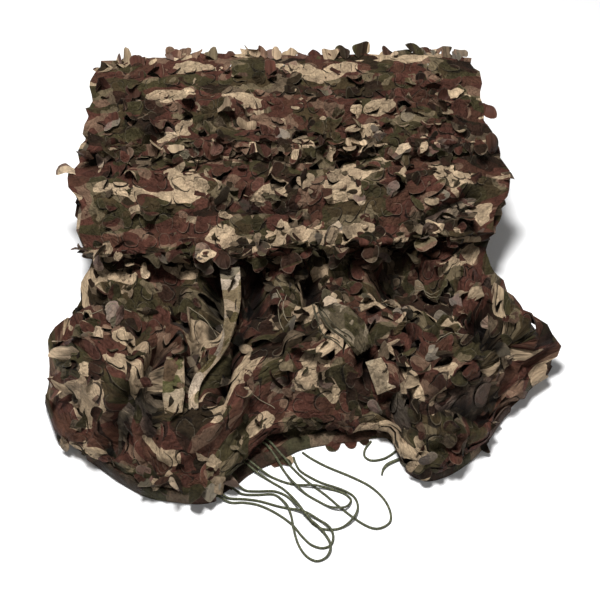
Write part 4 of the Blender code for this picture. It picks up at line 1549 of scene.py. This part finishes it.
# The print of the next layer, which shows through: how far it is shifted, and the size of its patches
BENEATH = {"Patch": 0.036, "Gather": 1.3}
BENEATH_SHIFT = (3.31, 1.73, 0)
GHOST_SHARE = 0.2
CRINKLE_HEIGHT = 0.004
CLOTH_SPECULAR = 0.12


def cloth_material(
    name, patch, gather, colours=PRINT_COLOURS, bump=1.0, reverse=REVERSE_SHARE, edge=EDGE_AND_HIGHLIGHT_SHOWS,
    ghost=GHOST_SHARE, tiers=(),
):
    """A printed cloth. ghost is the share of the print beneath, and tiers are those whose spots it has."""
    material, tree, shader = new_material(name)
    flat = add_node(tree, "UVMap", {"uv_map": "flat"}).outputs[0]
    settings = {"Place": flat, "Patch": patch, "Gather": gather, **colours}
    beneath = {**settings, **BENEATH, "Place": vectors(tree, "ADD", flat, BENEATH_SHIFT)}
    settings.update(spot_lifts(tree, flat, tiers))
    prints = [add_node(tree, "Group", {"node_tree": woodland_print}, inputs) for inputs in (settings, beneath)]
    colour = mix(tree, ghost, *(each.outputs["Color"] for each in prints))
    cloth = add_node(tree, "Group", {"node_tree": thin_cloth}, {"Place": flat, "Color": colour}).outputs
    # Painted light: below 0 the tone darkens the colour as painted shade, and above 0.6 it mixes in the pale
    # painted sheen
    tone = add_node(tree, "Attribute", {"attribute_name": "leaf_tone"}).outputs["Fac"]
    shade = maths(tree, "MAXIMUM", scaled(tree, tone, TONE_REACH, 1.0), DARKEST)
    sheen = scaled(tree, tone, 1.0, -0.6, use_clamp=True)
    faced = mix(tree, sheen, cloth["Color"], SHEEN_PALE)
    mark = add_node(tree, "Attribute", {"attribute_name": "cut_edge"}).outputs["Fac"]
    # The free edge's pale line: partly the paler cut edge, partly a painted highlight
    edge = maths(tree, "MULTIPLY", maths(tree, "GREATER_THAN", mark, EDGE_MARK), edge)
    # The painted shadow in the slit
    slit = maths(tree, "MULTIPLY", maths(tree, "LESS_THAN", mark, SLIT_MARK), SLIT_SHADOW_SHARE)
    faced = mix(tree, slit, mix(tree, edge, faced, EDGE_PALE_AND_HIGHLIGHT), SLIT_SHADOW)
    pale = mix(tree, reverse, faced, REVERSE_PALE)
    back = add_node(tree, "NewGeometry").outputs["Backfacing"]
    seen = mix(tree, 1.0, mix(tree, back, faced, pale), grey(tree, shade), "MULTIPLY")
    feed(tree, shader.inputs["Base Color"], seen)
    feed(tree, shader.inputs["Roughness"], cloth["Roughness"])
    add_relief(tree, shader, cloth["Height"], bump, CRINKLE_HEIGHT)
    shader.inputs["Specular IOR Level"].default_value = CLOTH_SPECULAR
    return material


tier_cloth = cloth_material("tier_cloth", 0.066, 2.0, tiers=(1, 2))
apron_cloth = cloth_material("apron_cloth", 0.058, 1.2, tiers=(0,))
print(tier_cloth.name, apron_cloth.name)

# %% [markdown]
# Braided cord is a sleeve of strands that cross each other both ways, olive with paler flecks. Modelling each
# strand would take more faces than the whole net. Two sine waves that cross on the cord's UV map make the
# strands' diamonds, and their height makes the bump.

# %% Braided cord
STRANDS_AROUND = 3
BRAID_LONG = 0.0042
STRAND_DARK = (0.014, 0.018, 0.006, 1)
STRAND_OLIVE = (0.075, 0.08, 0.034, 1)
FLECK_PALE = (0.2, 0.2, 0.1, 1)
BRAID_HEIGHT = 0.0006


def make_braid_material():
    material, tree, shader = new_material("cord_braid_olive")
    place_in = add_node(tree, "UVMap", {"uv_map": "braid"}).outputs[0]
    parts = add_node(tree, "SeparateXYZ", None, {0: place_in})
    around = maths(tree, "MULTIPLY", parts.outputs["X"], 2 * math.pi * STRANDS_AROUND)
    along = maths(tree, "MULTIPLY", parts.outputs["Y"], 2 * math.pi / BRAID_LONG)
    ways = [maths(tree, "SINE", maths(tree, operation, along, around)) for operation in ("ADD", "SUBTRACT")]
    strands = maths(tree, "MULTIPLY", scaled(tree, *ways, 1.0), 0.5)
    fleck = noise_at(tree, vectors(tree, "MULTIPLY", place_in, (3, 420, 0)), 1.0, 2.0)["Fac"]
    fleck = maths(tree, "MULTIPLY", maths(tree, "GREATER_THAN", fleck, 0.6), 0.45)
    colour = mix(tree, fleck, mix(tree, strands, STRAND_DARK, STRAND_OLIVE), FLECK_PALE)
    feed(tree, shader.inputs["Base Color"], colour)
    feed(tree, shader.inputs["Roughness"], scaled(tree, strands, -0.2, 0.75))
    add_relief(tree, shader, strands, 0.8, BRAID_HEIGHT)
    return material


cord_material = make_braid_material()
for piece in cord_pieces.values():
    piece.data.materials.append(cord_material)
print(cord_material.name)

# %% [markdown]
# The four stretches of the net are one sheet, cut apart only because each tier has its own cloth. A single mesh
# would also pass the size that a piece may have. Each stretch gets its cloth and is attached to the root with
# its leaves, and the CAD model's net is hidden.

# %% Dress the net
for name, (start, end) in STRETCHES.items():
    piece = net_pieces[name]
    cloth = tier_cloth if "tier" in name else apron_cloth
    piece.data.materials.append(cloth)
    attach(piece, "root")
    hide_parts("camouflage_net")
    leaves = leaf_pieces.get(name.replace("net_", ""), [])
    for loose in leaves:
        loose.data.materials.append(cloth)
        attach(loose, "root")

# %% [markdown]
# A light tape runs down the apron: the net's edge tape, folded over along both sides and stitched. It comes
# out flat from under the middle tier, and further down it is gathered to a narrow, doubled strip. A plane bent
# along a curve would keep one width. Rows of points follow a route with a width and a share of gathering at each
# place, so one function makes the tape, the strip at the left bag, the pleats and the tab.

# %% The edge tape
TAPE_THICK = 0.0011
STRIP_OVER = 0.0075
STRIP_STEP = 0.0045
STRIP_DROP = 0.006
STRIP_TUCK = 0.013
# (distance in front of the middle line, x, width, how far its sides are drawn together), in thousandths
TAPE_ROUTE = [
    (4, -97, 28, 0), (60, -91, 26, 50), (105, -88, 21, 200), (142, -92, 17, 600), (162, -98, 16, 800),
    (186, -111, 16, 950), (208, -125, 17, 800), (230, -130, 17, 800), (262, -128, 15, 700),
]
# A stitched strip that comes up over the left bag, and a strip gathered in pleats in the middle of the apron
HEM_STRIP_ROUTE = [(168, -158, 22, 0), (215, -157, 28, 0), (262, -153, 22, 200)]
PLEATED_ROUTE = [(70, 24, 22, 900), (100, 36, 44, 700), (140, 60, 58, 700), (176, 84, 34, 900)]
TAB_ROUTE = [(180, 92, 22, 0), (216, 108, 26, 0)]


def ribbon(name, rows, thickness):
    """A strip of cloth through rows of points, given a thickness, and its flat size, which its UV map holds."""
    count, across = rows.shape[:2]
    wide = float(np.linalg.norm(np.diff(rows, axis=1), axis=-1).sum(axis=1).mean())
    long = float(np.linalg.norm(np.diff(rows, axis=0), axis=-1).sum(axis=0).mean())
    firsts = [row * across + column for row in range(count - 1) for column in range(across - 1)]
    faces = [(first, first + 1, first + across + 1, first + across) for first in firsts]
    piece = new_piece(name, rows.reshape(-1, 3).tolist(), faces)
    layer = piece.data.uv_layers.new(name="flat")
    for loop in piece.data.loops:
        row, column = divmod(loop.vertex_index, across)
        layer.data[loop.index].uv = (wide * column / (across - 1), long * row / (count - 1))
    solid = piece.modifiers.new("Thickness", "SOLIDIFY")
    solid.thickness = thickness
    solid.offset = 0
    with bpy.context.temp_override(object=piece):
        bpy.ops.object.modifier_apply(modifier="Thickness")
    return piece, (round(wide, 3), round(long, 3))


# (distance in front of the middle line, how much darker or paler than its print the tape is: below 0 a painted
# shade where it is gathered, and where it is pale, partly its doubled, paler side, partly a painted sheen)
TAPE_SHADE_AND_SHEEN = [
    (0.0, 0.9), (0.052, 0.8), (0.066, -0.25), (0.14, -0.5), (0.17, -0.75), (0.2, 0.2), (0.26, 0.8),
]
# A strip's start goes down into the cloth over this length, and its end over this one
TUCK_LONG = 0.024
DROP_LONG = 0.03
STRIP_WAVE = 0.0008


def laid_strip(name, route, pleats, columns, tones=None, tuck=STRIP_TUCK):
    """A strip laid over the apron along a route. Where it is drawn together, it stands in that many pleats.

    tones is a table of (distance, tone), the strip's painted shade and sheen, and tuck is how far its start goes
    down into the cloth.
    """
    route = metres(route)
    along = np.arange(route[0][0], route[-1][0], STRIP_STEP)
    x, width, drawn = (read(route, along, column) for column in (1, 2, 3))
    ahead = unit(np.stack([np.gradient(x), -np.gradient(along), along * 0], axis=-1))
    aside = np.stack([-ahead[:, 1], ahead[:, 0], along * 0], axis=-1)
    heights = [cloth_point(*on_tier(0, x + step * width / 2 * aside[:, 0], -along))[:, 2] for step in (-1, 0, 1)]
    under = np.max(heights, axis=0)
    under = np.convolve(np.pad(under, 3, mode="edge"), np.ones(7) / 7, mode="valid") + STRIP_OVER
    under -= STRIP_DROP * smooth((along - route[-1][0] + DROP_LONG) / DROP_LONG)
    under -= tuck * smooth((route[0][0] + TUCK_LONG - along) / TUCK_LONG)
    across = np.linspace(-1, 1, columns)[None, :]
    side = across * width[:, None] / 2 * (1 - 0.35 * drawn[:, None])
    zigzag = 2 * np.abs(np.mod(pleats * (across + 1.15) / 2, 1) - 0.5)
    fold = drawn[:, None] * width[:, None] * 0.28 * (zigzag - 0.45) / pleats**0.5
    wave = STRIP_WAVE * np.sin(along[:, None] * 260 + across * 2.0)
    rows = np.stack([x, -along, under], axis=-1)[:, None] + aside[:, None] * side[..., None]
    rows[..., 2] += fold + wave
    piece, flat = ribbon(name, rows, TAPE_THICK)
    if tones:
        mark = piece.data.attributes.new("leaf_tone", "FLOAT", "POINT")
        reach = -np.array([vertex.co.y for vertex in piece.data.vertices])
        mark.data.foreach_set("value", read(tones, reach, 1).astype(np.float32))
    return piece, flat, rows


tape, tape_flat, tape_rows = laid_strip("stitched_edge_tape", TAPE_ROUTE, 1, 9, TAPE_SHADE_AND_SHEEN)
hem_strip, hem_strip_flat, hem_strip_rows = laid_strip("stitched_hem_strip", HEM_STRIP_ROUTE, 1, 7)
pleated, pleated_flat = laid_strip("pleated_strip", PLEATED_ROUTE, 5, 31)[:2]
tab, tab_flat = laid_strip("square_tab", TAB_ROUTE, 1, 7, tuck=0.0)[:2]
print("flat sizes:", tape_flat, hem_strip_flat, pleated_flat, tab_flat)


# %% [markdown]
# Lockstitch shows as a row of short raised dashes. A bump pattern would vanish at the tape's edge and in the
# mesh files. Each stitch is a bead of four faces, so hundreds of them cost little.

# %% Stitches
STITCH_START = 0.002
STITCH_LONG = 0.003
STITCH_EVERY = 0.005
STITCH_THICK = 0.0005


def stitches(name, line, up):
    """A row of short raised stitches along a line. Each is a small four-sided bead."""
    steps = run_lengths(line)
    up = np.asarray(up)
    points, faces = [], []
    for start in np.arange(STITCH_START, steps[-1] - STITCH_LONG, STITCH_EVERY):
        ends = (start, start + STITCH_LONG)
        near, far = (np.array([np.interp(end, steps, line[:, axis]) for axis in range(3)]) for end in ends)
        middle = (near + far) / 2 + up * STITCH_THICK
        side = np.cross(far - near, up) / STITCH_LONG * STITCH_THICK
        base = len(points)
        points += [near, far, middle + side, middle - side, middle + up * STITCH_THICK]
        faces += [(base, base + 2, base + 4), (base + 2, base + 1, base + 4)]
        faces += [(base + 1, base + 3, base + 4), (base + 3, base, base + 4)]
    return new_piece(name, [tuple(point) for point in points], faces, is_smooth=False)


def edge_stitches(name, rows, column):
    """Stitches along a ribbon at one column, a little above its upper side."""
    return stitches(name, rows[:, column] + [0, 0, TAPE_THICK * 0.55], (0, 0, 1))


tape_stitches = [
    edge_stitches("tape_stitches_left", tape_rows, 1),
    edge_stitches("tape_stitches_right", tape_rows, 7),
]
hem_strip_stitches = [edge_stitches("hem_strip_stitches", hem_strip_rows, 5)]
print(len(tape_stitches) + len(hem_strip_stitches), "rows of stitches")

# %% [markdown]
# The net's front edge is a folded hem. It lies flat on the floor in the middle, and stands up a little under
# the bags at both corners, where its lower edge shows as a clean, dark line. A plane extruded along the edge
# would stay stiff. A band of rows that leans back, bulges and waves a little reads as cloth.

# %% Front hems
# (name, from and to along the width, height of the band, how far it leans back, how far it stands in front)
HEM_BANDS = [
    ("front_hem_left", 0.085, 0.35, 0.017, 0.006, 0.004),
    ("front_hem_middle", 0.38, 0.715, 0.0035, 0.017, 0.001),
    ("front_hem_right", 0.742, 0.945, 0.014, 0.007, 0.004),
]
HEM_THICK = 0.0012
HEM_STEPS = 70
HEM_COLUMNS = 9
HEM_SEAM = 6


def make_hem(name, start, end, tall, lean, ahead):
    share = np.linspace(start, end, HEM_STEPS)
    y = front_edge(0, share)
    left, right = (read(SIDES["apron"], y, column) for column in (1, 2))
    x = left + share * (right - left)
    run = unit(np.stack([np.gradient(x), np.gradient(y)], axis=-1))
    outward = np.stack([run[:, 1], -run[:, 0]], axis=-1)
    up = np.linspace(0, 1, HEM_COLUMNS)[None, :]
    wave = 0.0012 * np.sin(share * 95)[:, None] * up
    forward = ahead - lean * up + 0.0022 * np.sin(np.pi * up) + wave
    rows = np.zeros((HEM_STEPS, HEM_COLUMNS, 3))
    rows[..., 0] = x[:, None] + outward[:, :1] * forward
    rows[..., 1] = y[:, None] + outward[:, 1:] * forward
    rows[..., 2] = HEM_THICK / 2 + 0.0004 + tall * np.sin(up * np.pi / 2) + np.abs(wave)
    band, flat = ribbon(name, rows, HEM_THICK)
    line = rows[:, HEM_SEAM] + [0, 0, HEM_THICK * 0.6]
    line[:, :2] += outward * HEM_THICK * 0.5
    return band, stitches(name + "_stitches", line, (0, -0.5, 0.85)), flat


hems = [make_hem(*row) for row in HEM_BANDS]
print([(band.name, flat) for band, seam, flat in hems])

# %% [markdown]
# Behind its leaves the cloth is held by a light mesh of strings. A bunch of them lies slack in the middle of the
# apron, and a few threads run over it elsewhere. A shrinkwrap would press them into every gap between leaves. A
# ray that looks down from above each point finds what is below it, and the line is then drawn taut over gaps.

# %% Strings on the apron
STRING_THICK = 0.0013
THREAD_THICK = STRING_THICK * 0.7
STRING_STEP = 0.004
# Points along the middle string of the bunch, and how far the others lie beside it, in millimetres
BUNCH = [(21, -76), (22, -104), (35, -140), (60, -172)]
BUNCH_SHIFTS = [(-4, 0), (-2.2, -4), (0, 2), (2.2, -2), (4.2, 3)]
THREADS = [
    [(118, -12), (150, -34), (185, -52), (208, -70)], [(112, -16), (146, -40), (180, -60), (200, -78)],
    [(-36, -40), (-24, -70), (-28, -105), (-20, -130)], [(-30, -36), (-18, -66), (-22, -100), (-12, -128)],
    [(-150, -80), (-128, -92), (-108, -112), (-96, -128)],
    [(-70, -222), (-56, -216), (-40, -218), (-28, -226)],
    [(-295, -95), (-270, -105), (-240, -98), (-214, -108)],
    [(236, -150), (214, -156), (190, -150), (168, -158)],
]


def tree_of(pieces):
    points, faces = [], []
    for piece in pieces:
        base = len(points)
        points += [tuple(vertex.co) for vertex in piece.data.vertices]
        faces += [tuple(base + vertex for vertex in face.vertices) for face in piece.data.polygons]
    return BVHTree.FromPolygons(points, faces)


apron_tree = tree_of([net_pieces["net_apron"], pleated] + leaf_pieces["apron"])


def string_line(points, thick):
    """A line over what lies below its points, drawn taut over small gaps."""
    given = metres(points)
    steps = run_lengths(given)
    table = np.column_stack([steps, given])
    at = np.arange(0, steps[-1], STRING_STEP)
    x, y = read(table, at, 1), read(table, at, 2)
    heights = []
    for one_x, one_y in zip(x, y):
        hit = apron_tree.ray_cast(Vector((one_x, one_y, 0.3)), Vector((0, 0, -1)))[0]
        heights.append(hit.z if hit else 0.0)
    heights = np.array(heights)
    taut = np.maximum(heights, np.convolve(np.pad(heights, 2, mode="edge"), np.ones(5) / 5, mode="valid"))
    taut[[0, -1]] = heights[[0, -1]] - 0.004
    return np.stack([x, y, taut + thick * 0.6], axis=-1)


strings = []
for number, (shift_x, shift_y) in enumerate(BUNCH_SHIFTS):
    fan = np.linspace(1.0, 1.9, len(BUNCH))
    points = [(x + shift_x * open_out, y + shift_y * open_out) for (x, y), open_out in zip(BUNCH, fan)]
    line = string_line(points, STRING_THICK)
    strings.append(tube(f"bunch_string_{number + 1}", line, STRING_THICK, STRING_THICK))
for number, points in enumerate(THREADS):
    line = string_line(points, THREAD_THICK)
    strings.append(tube(f"thread_{number + 1}", line, THREAD_THICK, THREAD_THICK))


def join_pieces(name, pieces):
    """Join pieces into the first of them."""
    bpy.ops.object.select_all(action="DESELECT")
    for piece in pieces:
        piece.select_set(True)
    bpy.context.view_layer.objects.active = pieces[0]
    bpy.ops.object.join()
    pieces[0].name = name
    pieces[0].select_set(False)
    return pieces[0]


bunch = join_pieces("mesh_string_bunch", strings[: len(BUNCH_SHIFTS)])
threads = join_pieces("loose_threads", strings[len(BUNCH_SHIFTS) :])
print(bunch.name, threads.name)

# %% [markdown]
# The small cloths are plainer than the net: tape and tab have the print's pale side, and the hems its dark one.
# They could borrow the net's material, but their patches would be far too large. The same recipe is used with
# smaller patches and each one's own four colours. Yarns are too thin for a pattern and get a fleck only.

# %% Yarns
def yarn(name, colour, roughness=0.7):
    """A thin yarn: one colour, with small flecks along it."""
    material, tree, shader = new_material(name)
    place_in = add_node(tree, "TexCoord").outputs["Object"]
    fleck = add_node(tree, "TexNoise", None, {"Vector": place_in, "Scale": 900.0, "Detail": 1.0}).outputs["Fac"]
    darker = tuple(part * 0.35 for part in colour[:3]) + (1,)
    feed(tree, shader.inputs["Base Color"], mix(tree, fleck, darker, colour))
    shader.inputs["Roughness"].default_value = roughness
    return material


thread_yarn = yarn("tan_thread", (0.3, 0.25, 0.16, 1))
string_yarn = yarn("green_string", (0.046, 0.038, 0.016, 1), 0.9)
print(thread_yarn.name, string_yarn.name)

# %% Small cloths
# Each with its patch size, gathering, bump, and the shares of the pale reverse, the pale edge with its painted
# highlight and the print beneath, then its colours in place of the print's brown, green, tan and dark
SMALL_CLOTHS = {
    "tape_cloth": (0.03, 0.8, 1, 0, 0, 0,
        (0.4, 0.3, 0.2), (0.44, 0.35, 0.26), (0.25, 0.185, 0.105), (0.105, 0.08, 0.034)),
    "tab_cloth": (0.03, 0.8, 1, 0, 0, 0,
        (0.42, 0.33, 0.22), (0.37, 0.28, 0.18), (0.46, 0.37, 0.26), (0.3, 0.23, 0.15)),
    "strip_cloth": (0.028, 0.9, 0.8, 0, 0, 0.1,
        (0.3, 0.225, 0.145), (0.085, 0.08, 0.03), (0.36, 0.28, 0.19), (0.1, 0.06, 0.035)),
    "pleat_cloth": (0.018, 0.7, 1, 0, 0, 0.1,
        (0.11, 0.086, 0.052), (0.06, 0.05, 0.022), (0.27, 0.215, 0.145), (0.034, 0.024, 0.012)),
    "hem_cloth": (0.045, 0.7, 0.6, 0.2, 0, 0.2,
        (0.06, 0.03, 0.02), (0.04, 0.036, 0.018), (0.13, 0.092, 0.06), (0.026, 0.015, 0.009)),
}
small_cloths = {}
for name, (patch, gather, bump, reverse, edge, ghost, *colours) in SMALL_CLOTHS.items():
    own = {label: (*colour, 1) for label, colour in zip(PRINT_COLOURS, colours)}
    small_cloths[name] = cloth_material(name, patch, gather, own, bump, reverse, edge, ghost)
print(list(small_cloths))


# %% Dress the tape, the hems and the strings
def dress(piece, material):
    piece.data.materials.clear()
    piece.data.materials.append(material)
    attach(piece, "root")


dress(tape, small_cloths["tape_cloth"])
for seam in tape_stitches + hem_strip_stitches:
    dress(seam, thread_yarn)
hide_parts("edge_tape")
dress(hem_strip, small_cloths["strip_cloth"])
dress(pleated, small_cloths["pleat_cloth"])
dress(tab, small_cloths["tab_cloth"])
for band, seam, flat in hems:
    dress(band, small_cloths["hem_cloth"])
    dress(seam, string_yarn)
dress(bunch, string_yarn)
dress(threads, thread_yarn)
print("dressed")
